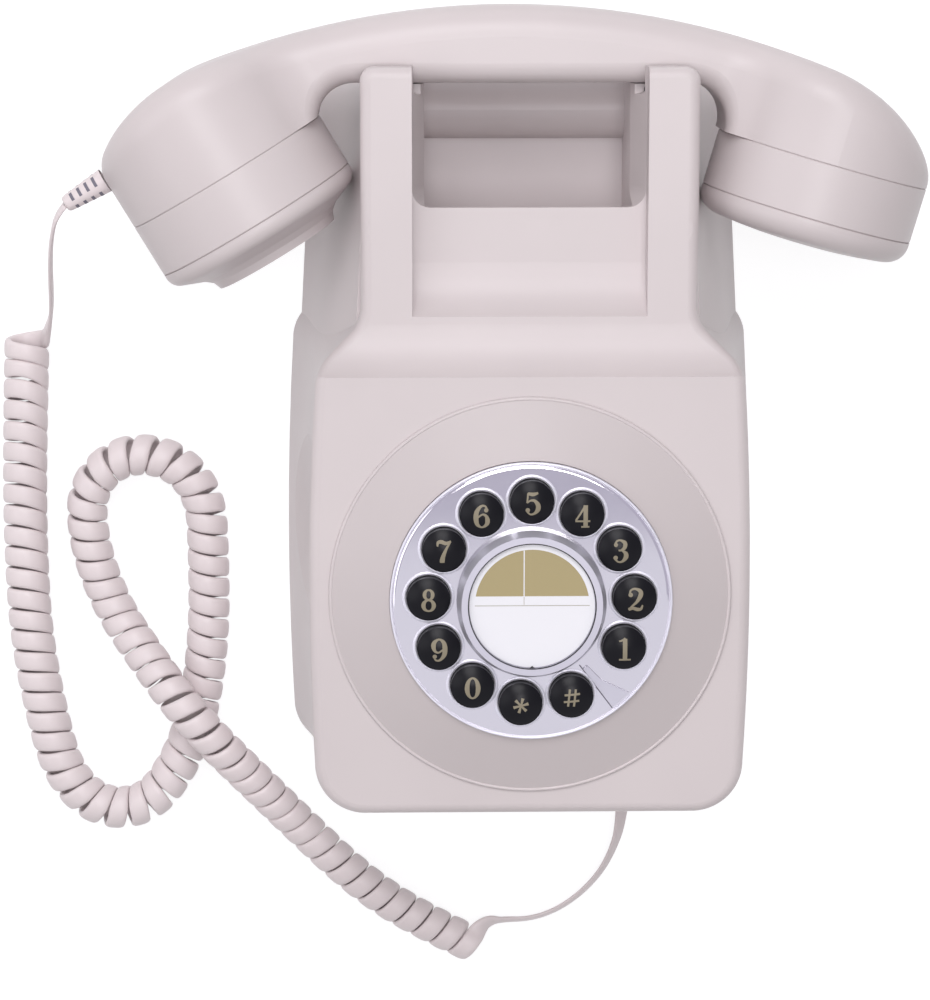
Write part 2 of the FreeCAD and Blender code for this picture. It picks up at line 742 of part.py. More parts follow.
def main_board():
    """Circuit board with its larger parts."""
    width, height = main_board_size
    top = main_board_z + board_thick
    board = box(-width / 2, width / 2, main_board_y - height / 2, main_board_y + height / 2, main_board_z,
                top)
    holes = [rod(screw_radius + fit, (x, y, main_board_z), (x, y, top)) for x, y in board_posts()]
    holes += [rod(boss_radius + fit, (x, y, main_board_z), (x, y, top)) for x, y in boss_places]
    blocks = [board_block(chip_size, chip_place, top), board_block(coil_size, coil_place, top)]
    cans = [rod(can_radius, (x, main_board_y + y, top), (x, main_board_y + y, top + can_height)) for x,
            y in can_places]
    return merged([board.cut(holes), ribbon_plug(top, top + plug_depth, 1)] + blocks + cans)


def ribbon_cable():
    low = main_board_z + board_thick + plug_wall
    return box(ribbon_x - ribbon_width / 2, ribbon_x + ribbon_width / 2, ribbon_y - ribbon_thick / 2,
               ribbon_y + ribbon_thick / 2, low, keypad_z - plug_wall)


def ringer_speaker():
    """Small loudspeaker behind the slotted dish."""
    rim = speaker_depth * 0.3
    magnet = speaker_radius * 0.6
    profile = [(0, 0), (speaker_radius, 0), (speaker_radius, rim), (magnet, rim * 2), (magnet, speaker_depth),
               (0, speaker_depth)]
    return spun(profile, (-speaker_seat, dish_y, dish_z), (1, 0, 0))


def hook_yoke():
    """Two plungers joined by a bar that passes under the hand hollow."""
    top = saddle_y - fit
    bar = box(-plunger_x - plunger_radius, plunger_x + plunger_radius, yoke_y, yoke_y + yoke_height,
              plunger_z - yoke_depth / 2, plunger_z + yoke_depth / 2)
    rods = []
    for side in (-1, 1):
        stem = rod(plunger_radius, (side * plunger_x, yoke_y, plunger_z), (side * plunger_x, top, plunger_z))
        rods.append(stem.makeFillet(plunger_radius * 0.6,
                                    [e for e in stem.Edges if e.BoundBox.YMin > top - 0.01]))
    return merged([bar] + rods)


def hook_bracket():
    """Steel angle on the back plate that carries the hook switch and the return spring."""
    foot = box(-bracket_half, bracket_half, bracket_y - bracket_foot, bracket_y, plate_thick,
               plate_thick + bracket_thick)
    upright = box(-bracket_half, bracket_half, bracket_y - bracket_thick, bracket_y, plate_thick,
                  plunger_z + yoke_depth / 2)
    peg = rod(spring_radius - spring_wire - fit, (0, bracket_y, spring_z),
              (0, bracket_y + peg_length, spring_z))
    return merged([foot, upright, peg])


def hook_spring():
    """Return spring under the yoke, pressed short while the handset rests."""
    length = yoke_y - bracket_y - fit * 2
    pitch = (length - spring_wire) / spring_turns
    path = Part.makeHelix(pitch, pitch * spring_turns, spring_radius - spring_wire / 2)
    section = Part.Wire(Part.Circle(V(spring_radius - spring_wire / 2, 0, 0), AXIS_Y,
                                    spring_wire / 2).toShape())
    coil = path.makePipeShell([section], True, True)
    coil.Placement = FreeCAD.Placement(V(0, bracket_y + fit + spring_wire / 2, spring_z),
                                       FreeCAD.Rotation(AXIS_Z, AXIS_Y))
    return coil


def hook_switch():
    """Microswitch under the yoke, with its button just clear of the bar."""
    width, height, depth = switch_size
    body = box(switch_x - width / 2, switch_x + width / 2, bracket_y, bracket_y + height,
               plunger_z - depth / 2 - 1, plunger_z + depth / 2 - 1)
    button = rod(1.5, (switch_x - 4, bracket_y + height, plunger_z - 1),
                 (switch_x - 4, yoke_y - fit, plunger_z - 1))
    return merged([body, button])


# Bottom wall

def slider_knob(x):
    """Ridged knob of a slide switch, standing out of the bottom wall."""
    inner = body_bottom + wall + slider_body[1] / 2
    outer = body_bottom - slider_reach
    knob = box(x - slider_width / 2, x + slider_width / 2, outer, inner,
               slider_z - slider_height / 2, slider_z + slider_height / 2)
    grooves = [box(x - slider_width / 2 + 0.8 + i * 1.3, x - slider_width / 2 + 1.2 + i * 1.3, outer,
                   outer + 0.5,
                   slider_z - slider_height / 2, slider_z + slider_height / 2) for i in range(3)]
    return knob.cut(grooves)


def slider_switch(x):
    """Body of a slide switch inside the bottom wall."""
    width, height, depth = slider_body
    middle = x + slider_travel / 2
    base = body_bottom + wall + fit
    body = box(middle - width / 2, middle + width / 2, base, base + height, slider_z - depth / 2,
               slider_z + depth / 2)
    track = box(x - slider_width / 2 - fit, x + slider_width / 2 + slider_travel + fit, base,
                base + height / 2 + fit,
                slider_z - slider_height / 2 - fit, slider_z + slider_height / 2 + fit)
    return body.cut(track)


def line_socket():
    """Modular socket for the wall line, on the board's lower edge."""
    width, depth, height = socket_size
    hole_width, hole_depth, hole_height = socket_hole
    face = body_bottom
    base = main_board_z + board_thick
    middle = base + height / 2
    body = box(socket_x - width / 2, socket_x + width / 2, face, face + depth, base, base + height)
    hole = box(socket_x - hole_width / 2, socket_x + hole_width / 2, face, face + hole_depth,
               middle - hole_height / 2, middle + hole_height / 2)
    latch = box(socket_x - 2, socket_x + 2, face, face + hole_depth, middle + hole_height / 2,
                middle + hole_height / 2 + 2)
    return body.cut([hole, latch])


def cord_gland():
    """Tapered strain relief where the handset cord enters the bottom wall."""
    inside = body_bottom + wall + fit
    tip = body_bottom - gland_length
    reach = inside - tip
    profile = [(cord_radius + fit / 3, 0), (gland_tip, 0), (gland_radius, gland_length - 3),
               (gland_radius, reach),
               (gland_flange, reach), (gland_flange, reach + 2), (cord_radius + fit / 3, reach + 2)]
    return spun(profile, (gland_x, tip, gland_z), (0, 1, 0))


# Handset

def cap_frame(centre, tilt, side):
    """The middle of one end's seam, the way along the seam inwards and the way the cap faces."""
    turn = math.radians(tilt)
    along = V(-side * math.cos(turn), math.sin(turn), 0)
    facing = V(-side * math.sin(turn), -math.cos(turn), 0)
    return V(centre[0], centre[1], handset_z), along, facing


def mouth_frame():
    return cap_frame(mouth_centre, mouth_tilt, -1)


def ear_frame():
    return cap_frame(ear_centre, ear_tilt, 1)


def arch_y(x):
    return ridge_y - arch_radius + math.sqrt(arch_radius ** 2 - (x - handset_x) ** 2)


def side_outline():
    """Side outline of the handset shell, down to the two seams."""
    mouth, mouth_along, mouth_facing = mouth_frame()
    ear, ear_along, ear_facing = ear_frame()
    mouth_inner = mouth + mouth_along * cap_radius
    mouth_outer = mouth - mouth_along * cap_radius
    mouth_tip = mouth_outer - mouth_facing * mouth_side
    ear_inner = ear + ear_along * cap_radius
    ear_outer = ear - ear_along * cap_radius
    ear_tip = ear_outer - ear_facing * ear_side
    under_left = V(mouth_inner.x + neck_run, under_y, handset_z)
    under_right = V(ear_inner.x - neck_run, under_y, handset_z)
    arch_left = V(handset_x - arch_half, arch_y(handset_x - arch_half), handset_z)
    arch_right = V(handset_x + arch_half, arch_y(handset_x + arch_half), handset_z)
    slope = math.asin(arch_half / arch_radius)
    way_left = V(-math.cos(slope), -math.sin(slope), 0)
    way_right = V(math.cos(slope), -math.sin(slope), 0)
    return [
        arc(mouth_inner, arc_middle(under_left, AXIS_X * -1, mouth_inner), under_left),
        line(under_left, under_right),
        arc(under_right, arc_middle(under_right, AXIS_X, ear_inner), ear_inner),
        line(ear_inner, ear_outer),
        line(ear_outer, ear_tip),
        arc(ear_tip, arc_middle(arch_right, way_right, ear_tip), arch_right),
        arc(arch_right, V(handset_x, ridge_y, handset_z), arch_left),
        arc(arch_left, arc_middle(arch_left, way_left, mouth_tip), mouth_tip),
        line(mouth_tip, mouth_outer),
        line(mouth_outer, mouth_inner),
    ]


def plan_form(frame):
    """Bell and neck of one end seen along the cap's axis, drawn out past the ridge."""
    centre, along, facing = frame
    reach = cap_radius + neck_radius
    blend = math.sqrt(reach ** 2 - (handle_half + neck_radius) ** 2)
    share = cap_radius / reach
    touch = (blend * share, (handle_half + neck_radius) * share)
    middle_way = (V(touch[0] - blend, touch[1] - handle_half - neck_radius, 0) + V(0, -neck_radius,
                                                                                   0)).normalize()
    middle = (blend + middle_way.x * neck_radius, handle_half + neck_radius + middle_way.y * neck_radius)
    far = cap_radius * 4

    def at(s, z):
        return centre + facing * far + along * s + AXIS_Z * z

    edges = [line(at(blend, handle_half), at(far, handle_half)),
             line(at(far, handle_half), at(far, -handle_half)),
             line(at(far, -handle_half), at(blend, -handle_half)),
             arc(at(blend, -handle_half), at(middle[0], -middle[1]), at(touch[0], -touch[1])),
             arc(at(touch[0], -touch[1]), at(-cap_radius, 0), at(touch[0], touch[1])),
             arc(at(touch[0], touch[1]), at(middle[0], middle[1]), at(blend, handle_half))]
    return Part.Face(Part.Wire(edges)).extrude(facing * (-2 * far))


def handset_shell():
    """Arched handle with a round bell at each end, solid but for the capsule pockets."""
    side = Part.Face(Part.Wire(side_outline())).extrude(AXIS_Z * (2 * cap_radius))
    side.translate(AXIS_Z * -cap_radius)
    far = cap_radius * 6
    left = side.common(plan_form(mouth_frame())).common(box(-far, handset_x, -far, far, -far, far))
    right = side.common(plan_form(ear_frame())).common(box(handset_x, far, -far, far, -far, far))
    shell = merged([left, right])
    shell = shell.makeFillet(shell_round, shell_edges(shell, True))
    shell = shell.makeFillet(under_round, shell_edges(shell, False))
    cuts = []
    for centre, along, facing in (mouth_frame(), ear_frame()):
        cuts.append(rod(pocket_radius, centre, centre - facing * pocket_depth))
    length, height, depth = weight_size
    middle = (under_y + ridge_y) / 2
    cuts.append(box(handset_x - length / 2 - fit, handset_x + length / 2 + fit, middle - height / 2 - fit,
                    middle + height / 2 + fit, handset_z - depth / 2 - fit, handset_z + depth / 2 + fit))
    start, way = boot_place()
    cuts.append(rod(boot_tip + fit / 3, start - way * (boot_plug + fit), start + way))
    return shell.cut(cuts)


def shell_edges(shell, top):
    """Edges between the shell's sides and its arched top, or those of the handle's underside."""
    picked = []
    frames = (mouth_frame(), ear_frame())
    for edge in shell.Edges:
        start = edge.valueAt(edge.FirstParameter)
        middle = edge.valueAt((edge.FirstParameter + edge.LastParameter) / 2)
        end = edge.valueAt(edge.LastParameter)
        across = abs(middle.z - handset_z) < 1
        seam = any(abs((middle - centre).dot(facing)) < 0.05 for centre, along, facing in frames)
        upright = any((end - start).cross(facing).Length < 0.01 for centre, along, facing in frames)
        inner = abs(middle.x - handset_x) < pocket_radius * 2.6 and middle.y < under_y + 1
        if not across and not seam and not upright and inner != top:
            picked.append(edge)
    return picked


def handset_weight():
    length, height, depth = weight_size
    middle = (under_y + ridge_y) / 2
    return box(handset_x - length / 2, handset_x + length / 2, middle - height / 2, middle + height / 2,
               handset_z - depth / 2, handset_z + depth / 2)


def end_collar(frame):
    """Ring between the shell and the cap, bevelled at both seams."""
    centre, along, facing = frame
    inner = cap_radius - collar_wall
    profile = [(inner, 0), (cap_radius - seam, 0), (cap_radius, seam), (cap_radius, collar_height - seam),
               (cap_radius - seam, collar_height), (inner, collar_height)]
    return spun(profile, centre, facing)


def cap_line(points, shrink, start):
    """Edges of a cap's outline from the height where it leaves its straight side, moved in by a wall."""
    side = V(cap_radius - shrink, 0, start)
    places = [V(r - shrink, 0, h - shrink) for r, h in points]
    places.append(V(0, 0, places[-1].z))
    edges = [arc(side, arc_middle(side, AXIS_Z, places[0]), places[0])]
    return edges + [line(a, b) for a, b in zip(places, places[1:])]


def end_cap(frame, points):
    """Cup that closes one end, with sound holes in its face."""
    centre, along, facing = frame
    base = centre + facing * collar_height
    depth = points[-1][1]
    outer = cap_line(points, 0, cap_lip)
    inner = cap_line(points, cap_wall, 0)
    edges = [line((cap_radius - cap_wall, 0, 0), (cap_radius, 0, 0)),
             line((cap_radius, 0, 0), (cap_radius, 0, cap_lip))]
    edges += outer + [line((0, 0, depth), (0, 0, depth - cap_wall))] + inner
    cap = turned(edges, base, facing)
    side = facing.cross(along)
    holes = []
    for i in range(sound_count):
        turn = 2 * math.pi * i / sound_count
        place = base + (along * math.cos(turn) + side * math.sin(turn)) * sound_circle
        holes.append(rod(sound_hole, place, place + facing * (depth + sound_hole)))
    return cap.cut(holes)


def capsule(frame, points):
    """Round sound capsule held between the shell's pocket and the cap."""
    centre, along, facing = frame
    start = centre + facing * (collar_height + points[-1][1] - cap_wall - capsule_depth)
    rim = capsule_depth / 3
    face = points[-1][0] * 0.75
    profile = [(0, 0), (capsule_radius * 0.7, 0), (capsule_radius * 0.7, rim), (capsule_radius, rim),
               (capsule_radius, rim * 1.5), (face, capsule_depth), (0, capsule_depth)]
    return spun(profile, start, facing)


def boot_place():
    """Where the strain relief meets the mouthpiece bell, and the way it points."""
    centre, along, facing = mouth_frame()
    return centre - along * cap_radius - facing * boot_along, along * -1


def cord_boot():
    """Slotted strain relief on the mouthpiece bell."""
    start, way = boot_place()
    pitch = boot_length / (boot_slots + 1)
    bore = cord_radius + fit / 3
    profile = [(bore, -boot_plug), (boot_tip, -boot_plug), (boot_tip, 0.2), (boot_root, 0.2)]
    for i in range(boot_slots):
        at = pitch * (i + 0.7)
        outer = boot_root + (boot_tip - boot_root) * at / boot_length
        profile += [(outer, at), (outer * 0.72, at + 0.1), (outer * 0.72, at + pitch * 0.4),
                    (outer, at + pitch * 0.4 + 0.1)]
    profile += [(boot_tip, boot_length), (bore, boot_length)]
    return spun(profile, start, way)


# Cords

def rounded_path(points):
    """Straight runs joined by the largest tangent arcs that the runs allow, and the arcs' radii."""
    edges = []
    radii = []
    start = points[0]
    for before, corner, after in zip(points, points[1:], points[2:]):
        back = (before - corner).normalize()
        ahead = (after - corner).normalize()
        half = (math.pi - back.getAngle(ahead)) / 2
        cut = 0.45 * min((before - corner).Length, (after - corner).Length)
        radius = cut / math.tan(half)
        radii.append(radius)
        middle = corner + (back + ahead).normalize() * (radius / math.cos(half) - radius)
        edges.append(line(start, corner + back * cut))
        edges.append(arc(corner + back * cut, middle, corner + ahead * cut))
        start = corner + ahead * cut
    edges.append(line(start, points[-1]))
    return edges, radii


def tube(edges, radius):
    """Round tube along a path of lines and arcs."""
    path = Part.Wire(edges)
    way = edges[0].tangentAt(edges[0].FirstParameter)
    section = Part.Wire(Part.Circle(edges[0].valueAt(edges[0].FirstParameter), way, radius).toShape())
    solid = path.makePipeShell([section], True, False)
    share = solid.Volume / (math.pi * radius ** 2 * path.Length)
    print("tube length", round(path.Length, 1), "volume share", round(share, 4))
    return solid


def curl_line():
    """Points and directions of the wound stretch, every half turn, and its exact position as a function."""
    edges, radii = rounded_path([V(*p) for p in route_curl])
    print("curly cord least bend", round(min(radii), 1))
    ends = [0.0]
    for edge in edges:
        ends.append(ends[-1] + edge.Length)
    length = ends[-1]
    turns = math.floor(length / curl_pitch) + 0.75

    def at(s):
        i = 0
        while i < len(edges) - 1 and ends[i + 1] < s:
            i += 1
        edge = edges[i]
        p = edge.getParameterByLength(min(max(s - ends[i], 0), edge.Length))
        ahead = edge.tangentAt(p).normalize()
        side = AXIS_Z.cross(ahead).normalize()
        up = ahead.cross(side)
        angle = -2 * math.pi * turns * s / length
        return edge.valueAt(p) + side * (curl_radius * math.cos(angle)) + up * (curl_radius * math.sin(angle))

    return at, length, turns


def biarc(p0, t0, p1, t1):
    """Two arcs that join two points with the given directions."""
    v = p1 - p0
    k = 2 * (1 - t0.dot(t1))
    vt = v.dot(t0 + t1)
    d = (math.sqrt(vt * vt + k * v.dot(v)) - vt) / k
    joint = (p0 + p1 + (t0 - t1) * d) * 0.5
    way = ((p1 - t1 * d) - (p0 + t0 * d)).normalize()
    return [arc(p0, arc_middle(p0, t0, joint), joint), arc(joint, arc_middle(joint, way, p1), p1)]


def curl_path():
    """Edges of the whole curly stretch, with a straight end of one wire diameter at each end."""
    at, length, turns = curl_line()
    steps = int(round(turns * 4))
    step = length / steps
    points = [at(i * step) for i in range(steps + 1)]
    small = step / 1000
    ways = [(at(min(i * step + small, length)) - at(max(i * step - small,
                                                        0))).normalize() for i in range(steps + 1)]
    edges = [line(points[0] - ways[0] * curl_wire, points[0])]
    for i in range(steps):
        edges += biarc(points[i], ways[i], points[i + 1], ways[i + 1])
    edges.append(line(points[-1], points[-1] + ways[-1] * curl_wire))
    print("curls", round(turns, 2), "least gap between curls", round(least_gap(at, length, turns), 2))
    return edges


def least_gap(at, length, turns):
    """Least clear distance between stretches of the wound cord that are half a turn or more apart."""
    per_turn = 16
    count = int(turns * per_turn)
    points = [at(length * i / count) for i in range(count + 1)]
    least = length
    for i, p in enumerate(points):
        for q in points[i + per_turn // 2:]:
            least = min(least, p.distanceToPoint(q))
    return least - curl_wire


def cord_nodes():
    """The two plain leads and the wound stretch between them."""
    curls = curl_path()
    first = curls[0].valueAt(curls[0].FirstParameter)
    first_way = curls[0].tangentAt(curls[0].FirstParameter)
    last = curls[-1].valueAt(curls[-1].LastParameter)
    last_way = curls[-1].tangentAt(curls[-1].LastParameter)
    start, way = boot_place()
    boot_end = start + way * (boot_length + fit)
    near = boot_end + way * lead_straight
    far = first - first_way * lead_straight
    span = far - near
    between = [near + V(span.x * x, span.y * y, span.z * z) for x, y, z in route_handset_lead]
    lead = [boot_end, near] + between + [far, first - first_way * lead_gap]
    gland_end = V(gland_x, body_bottom - gland_length - fit, gland_z)
    base = [last + last_way * lead_gap, last + last_way * lead_straight] + [V(*p) for p in route_base_lead]
    base.append(gland_end)
    nodes = {}
    for name, points in (("cord_handset_lead", lead), ("cord_base_lead", base)):
        edges, radii = rounded_path(points)
        print(name, "bend radii", [round(r, 1) for r in radii])
        nodes[name] = tube(edges, cord_radius)
    nodes["cord_curly"] = tube(curls, curl_wire / 2)
    return nodes


def main():
    os.makedirs("parts", exist_ok=True)
    nodes = {
        "front_case": front_case(), "back_plate": back_plate(), "case_screws": case_screws(),
        "dial_surround": dial_surround(), "dial_disc": dial_disc(), "hub_ring": hub_ring(),
        "label_card": label_card(), "label_lens": label_lens(), "finger_stop": finger_stop(),
        "key_mat": key_mat(), "keypad_board": keypad_board(), "keypad_screws": keypad_screws(),
        "main_board": main_board(), "board_screws": board_screws(), "ribbon_cable": ribbon_cable(),
        "ringer_speaker": ringer_speaker(), "hook_yoke": hook_yoke(), "hook_bracket": hook_bracket(),
        "hook_spring": hook_spring(), "hook_switch": hook_switch(), "line_socket": line_socket(),
        "cord_gland": cord_gland(), "handset_shell": handset_shell(), "handset_weight": handset_weight(),
        "mouthpiece_collar": end_collar(mouth_frame()), "mouthpiece_cap": end_cap(mouth_frame(), mouth_cap),
        "earpiece_collar": end_collar(ear_frame()), "earpiece_cap": end_cap(ear_frame(), ear_cap),
        "microphone_capsule": capsule(mouth_frame(), mouth_cap),
        "receiver_capsule": capsule(ear_frame(), ear_cap),
        "cord_boot": cord_boot(),
    }
    for name, angle in key_angles().items():
        nodes["key_" + name] = key(angle)
    for name, x in slider_places:
        nodes[name + "_knob"] = slider_knob(x)
        nodes[name + "_switch"] = slider_switch(x)
    nodes.update(cord_nodes())
    for name, shape in nodes.items():
        shape.exportStep("parts/" + name + ".step")


main()
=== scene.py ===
import json
import math
import bpy
import bmesh
from mathutils import Matrix, Vector


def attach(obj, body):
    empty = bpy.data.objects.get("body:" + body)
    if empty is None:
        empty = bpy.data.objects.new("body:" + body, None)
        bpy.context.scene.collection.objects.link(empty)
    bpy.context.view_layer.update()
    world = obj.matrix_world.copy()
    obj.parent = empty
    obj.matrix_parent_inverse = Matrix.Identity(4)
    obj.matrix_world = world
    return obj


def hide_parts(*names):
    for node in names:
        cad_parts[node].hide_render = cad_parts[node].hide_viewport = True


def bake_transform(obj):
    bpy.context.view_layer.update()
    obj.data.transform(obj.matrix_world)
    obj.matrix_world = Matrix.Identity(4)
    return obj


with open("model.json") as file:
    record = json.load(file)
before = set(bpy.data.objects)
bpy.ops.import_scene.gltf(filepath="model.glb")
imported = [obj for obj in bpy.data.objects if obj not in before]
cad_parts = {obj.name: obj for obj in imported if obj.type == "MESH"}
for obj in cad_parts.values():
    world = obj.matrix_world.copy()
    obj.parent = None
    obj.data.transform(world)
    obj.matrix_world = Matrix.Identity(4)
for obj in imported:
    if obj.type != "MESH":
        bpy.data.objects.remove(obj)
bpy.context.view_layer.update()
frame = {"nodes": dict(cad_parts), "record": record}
nodes = frame["nodes"]
MM = 0.001

# Sizes repeated from the part, in millimetres
DIAL_Y = -38.0
DISC_TOP = 89.6
DISC_RADIUS = 38.0
KEY_CIRCLE = 28.0
KEY_RADIUS = 5.9
KEY_TOP = 92.6
KEY_DOME = 1.8
KEY_FIRST = -26.0
KEY_PITCH = 29.0
KEY_NAMES = ["1", "2", "3", "4", "5", "6", "7", "8", "9", "0", "star", "hash"]
CARD_TOP = 94.8
LENS_TOP = 96.0
LABEL_RADIUS = 17.0
HUB_BORE = 17.4
STOP_ANGLE = -53.2
STOP_RADII = (22.0, 37.2)
SURROUND_RADIUS = 54.8
FACE_Z = 82.0
BOOT_TIP = Vector((-128.1, 66.5, 48.0))
BOOT_WAY = Vector((-5.0, -3.0, 0.0)).normalized()
BOOT_LENGTH = 13.0
BOOT_RADII = (3.5, 2.3)
DISH_CENTRE = Vector((-60.7, -23.0, 50.0))
DISH_RADIUS = 24.0
DISH_DEPTH = 3.0

# Cord: its section, its winding and its route
CORD_WIDTH = 5.6
CORD_THICK = 2.3
LEAD_WIDTH = 4.6
LEAD_THICK = 1.2
LEAD_STEPS = 60
LEAD_GROWTH = 5
SECTION_STEPS = 16
SECTION_POWERS = (0.65, 0.8)
HANDSET_TURN = math.radians(12)
BASE_TURN = math.radians(90)
BASE_TURN_GROWTH = 8
BASE_RETURN = math.radians(38)
BASE_RETURN_START = 0.7
BASE_RETURN_SHARE = 0.3
CURLS = 79.9
CURL_STEPS = 26
CURL_OUTER = (13.2, 11.4)
CURL_FILL = 0.96
CURL_LEAN = 0.5
LEAN_GROWTH = 40
LEAN_FADE = 3
CURL_Z = 6.9
CURL_RAMP_Z = 13.5
CURL_OVER_Z = 20.6
SPLINE_ORDER = 3
SPLINE_STEPS = 20
ROUTE_HANDSET_LEAD = [
    (-128.1, 66.5, 48.0), (-130.7, 63.6, 47.4), (-132.4, 58.2, 44.0), (-133.5, 52.4, 39.5),
    (-134.3, 46.1, 33.5), (-134.9, 40.0, 27.0), (-135.7, 34.3, 20.0), (-137.0, 29.0, 13.5),
]
ROUTE_CURL = [
    (-144.5, 24.0, CURL_Z), (-146.0, -8.0, CURL_Z), (-146.5, -38.0, CURL_Z), (-145.5, -66.0, CURL_Z),
    (-141.0, -92.0, CURL_Z), (-136.5, -108.5, CURL_Z), (-126.0, -119.0, CURL_Z), (-111.5, -118.0, CURL_Z),
    (-101.5, -104.5, CURL_Z), (-95.5, -87.0, CURL_Z), (-92.5, -64.0, CURL_Z), (-92.3, -42.0, CURL_Z),
    (-93.0, -22.5, CURL_Z), (-103.0, -11.5, CURL_Z), (-118.0, -10.5, CURL_Z), (-128.5, -21.0, CURL_Z),
    (-127.5, -39.0, CURL_Z), (-121.0, -57.0, CURL_Z), (-111.0, -70.5, CURL_RAMP_Z),
    (-101.5, -82.0, CURL_OVER_Z), (-91.5, -94.0, CURL_OVER_Z), (-80.0, -108.0, CURL_RAMP_Z),
    (-66.5, -124.0, CURL_Z), (-50.0, -140.5, CURL_Z), (-33.0, -153.0, CURL_Z), (-14.8, -162.0, CURL_Z),
]
ROUTE_BASE_LEAD = [
    (-11.0, -155.5, 8.2), (-5.5, -155.4, 4.8), (3.8, -155.9, 3.0), (11.8, -153.1, 3.0), (19.0, -148.0, 3.2),
    (25.1, -141.0, 4.0), (28.8, -133.0, 6.0), (31.0, -124.5, 8.0), (31.5, -113.8, 9.0),
]

# Print on the keys and the label
INK_LIFT = 0.04
OVAL_STEPS = 12
STAR_RADIUS = 2.1
STROKE_STEPS = 8
STROKE_ROWS = (1, 0.33, -0.33, -1)
LABEL_LAYERS = (0.02, 0.05, 0.08)
LABEL_MARGIN = 1.5
LABEL_STEPS = 96
SEGMENT_CHORD = 2.7
SEGMENT_STEPS = 40
PRINT_GAP = 0.2
DIVIDER_X = -2.2
DIVIDER_HALF = 0.15
TICK_HALF = 0.08
TICK_START = 0.3
RULE_HEIGHT = 0.2
NOTCH_HALF = 0.75
NOTCH_HEIGHT = 0.7

# Strain relief: distance along it and inset of each ring, and its slots
BOOT_TURNS = 48
BOOT_RINGS = [(0.0, 0.0), (3.0, 0.0), (6.0, 0.0), (9.0, 0.0), (12.0, 0.0), (12.6, -0.12), (12.95, -0.4),
              (BOOT_LENGTH, -1.1)]
BOOT_SEAM = 1e-7
# the slots are painted shade: dark strips laid just above the skin
SLOT_ROWS = 4
SLOT_ROW_TURN = -25
SLOTS_IN_ROW = 4
SLOT_FIRST = 2.6
SLOT_PITCH = 2.5
SLOT_HALF = 0.45
SLOT_ARC = range(-28, 29, 8)
SLOT_LIFT = 0.05

# Strip at the foot of the loudspeaker dish, from the dish's centre
LIP_Y = range(-8, 9)
LIP_Z = range(-28, -21)
LIP_LIFT = 0.05

# Dial trim: edges as radius and rise, beads as radius, half width, foot and height
KEY_EDGE = [(7.1, 0.02), (6.75, 0.2), (6.35, 0.2), (6.02, -0.25)]
KEY_EDGE_STEPS = 64
LENS_PLAY = 0.1
LENS_GAP_DROP = 0.1
# half width of the painted shadow line beside the finger stop
STOP_SHADOW_HALF = 0.16
DISC_RIM = (DISC_RADIUS + 0.1, 0.4, DISC_TOP - 0.5, 0.45)
DIAL_BEAD = (SURROUND_RADIUS - 0.15, 0.6, FACE_Z + 0.1, 0.8)
BEAD_STEPS = 8
BEAD_TURNS = 128

# Finishes: scales of the patterns, and how strongly they show
CLOUD_SCALE = 14.0
CLOUD_DETAIL = 4.0
CLOUD_TINTS = (0.965, 1.03)
GLOSS_SCALE = 60.0
SKIN_DETAIL = 2.0
SKIN_STRENGTH = 0.25
WEAR_SCALE = 40.0
WEAR_TINT = 0.97
HAIRLINE_SCALE = 220.0
RIPPLE_SCALE = 30.0
RIPPLE_DETAIL = 1.0
RIPPLE_STRENGTH = 0.08
RIPPLE_DEPTH = 0.0004
PATTERN_STOPS = (0.3, 0.7)
IVORY = (0.615, 0.558, 0.560)
RING_TINT = 0.9
OWN_FINISH = {"hub_ring": "satin_metal", "finger_stop": "satin_metal", "dial_surround": "ivory_ring"}

# Stage, in metres: each light has a place, a width, a power and a colour
FLOOR_HALF = 6
FLOOR_DROP = 0.0005
FLOOR_PLAIN = (0.75, 0.75, 0.76, 1)
FLOOR_SEEN = (0.30, 0.30, 0.31, 1)
FLOOR_GLOW = 0.82
LIGHT_TARGET = Vector((0, 0, 0.04))
LIGHTS = {
    "key": ((-0.15, 0.95, 1.25), 0.9, 10.0, (0.99, 0.975, 1.0)),
    "front": ((0.05, 0.15, 1.4), 0.5, 4.6, (1.0, 0.98, 1.0)),
    "fill": ((-0.95, 0.1, 0.9), 0.9, 2.4, (0.98, 0.97, 1.0)),
}
ROOM_COLOR = (0.99, 0.97, 0.98, 1)
ROOM_STRENGTH = 0.46
MIRROR_EDGE = (-0.186, -0.176)
MIRROR_LIGHT = (0.69, 0.68, 0.77)
MIRROR_DARK = (0.46, 0.44, 0.54)
WAVE_SCALE = 9.0
WAVE_DETAIL = 1.0
WAVE_HEIGHT = 0.02
CAMERA_PLACE = (-0.03692, 0.14255, 0.92044)
CAMERA_BACK = Vector((-0.02236, 0.18029, 0.98336)).normalized()
CAMERA_LENS = 112.7
CAMERA_SENSOR = 36.0
CAMERA_NEAR = 0.01


# Finishes

materials = {}


def new_material(name):
    material = bpy.data.materials.new(name)
    material.use_nodes = True
    materials[name] = material
    tree = material.node_tree
    return tree, tree.nodes["Principled BSDF"]


def add_node(tree, kind, **values):
    """Add a node; keyword values set its properties, or its inputs where a property has no such name."""
    node = tree.nodes.new(kind)
    for key, value in values.items():
        if hasattr(node, key):
            setattr(node, key, value)
        else:
            node.inputs[key.replace("_", " ")].default_value = value
    return node


def noise(tree, scale, detail=3.0):
    place = add_node(tree, "ShaderNodeTexCoord")
    node = add_node(tree, "ShaderNodeTexNoise", Scale=scale, Detail=detail)
    tree.links.new(place.outputs["Object"], node.inputs["Vector"])
    return node.outputs["Fac"]


def ramp(tree, fac, positions, colors):
    """Colour that runs from the first of two colours to the second."""
    node = tree.nodes.new("ShaderNodeValToRGB")
    for element, position, color in zip(node.color_ramp.elements, positions, colors):
        element.position = position
        element.color = (*color, 1)
    tree.links.new(fac, node.inputs["Fac"])
    return node.outputs["Color"]


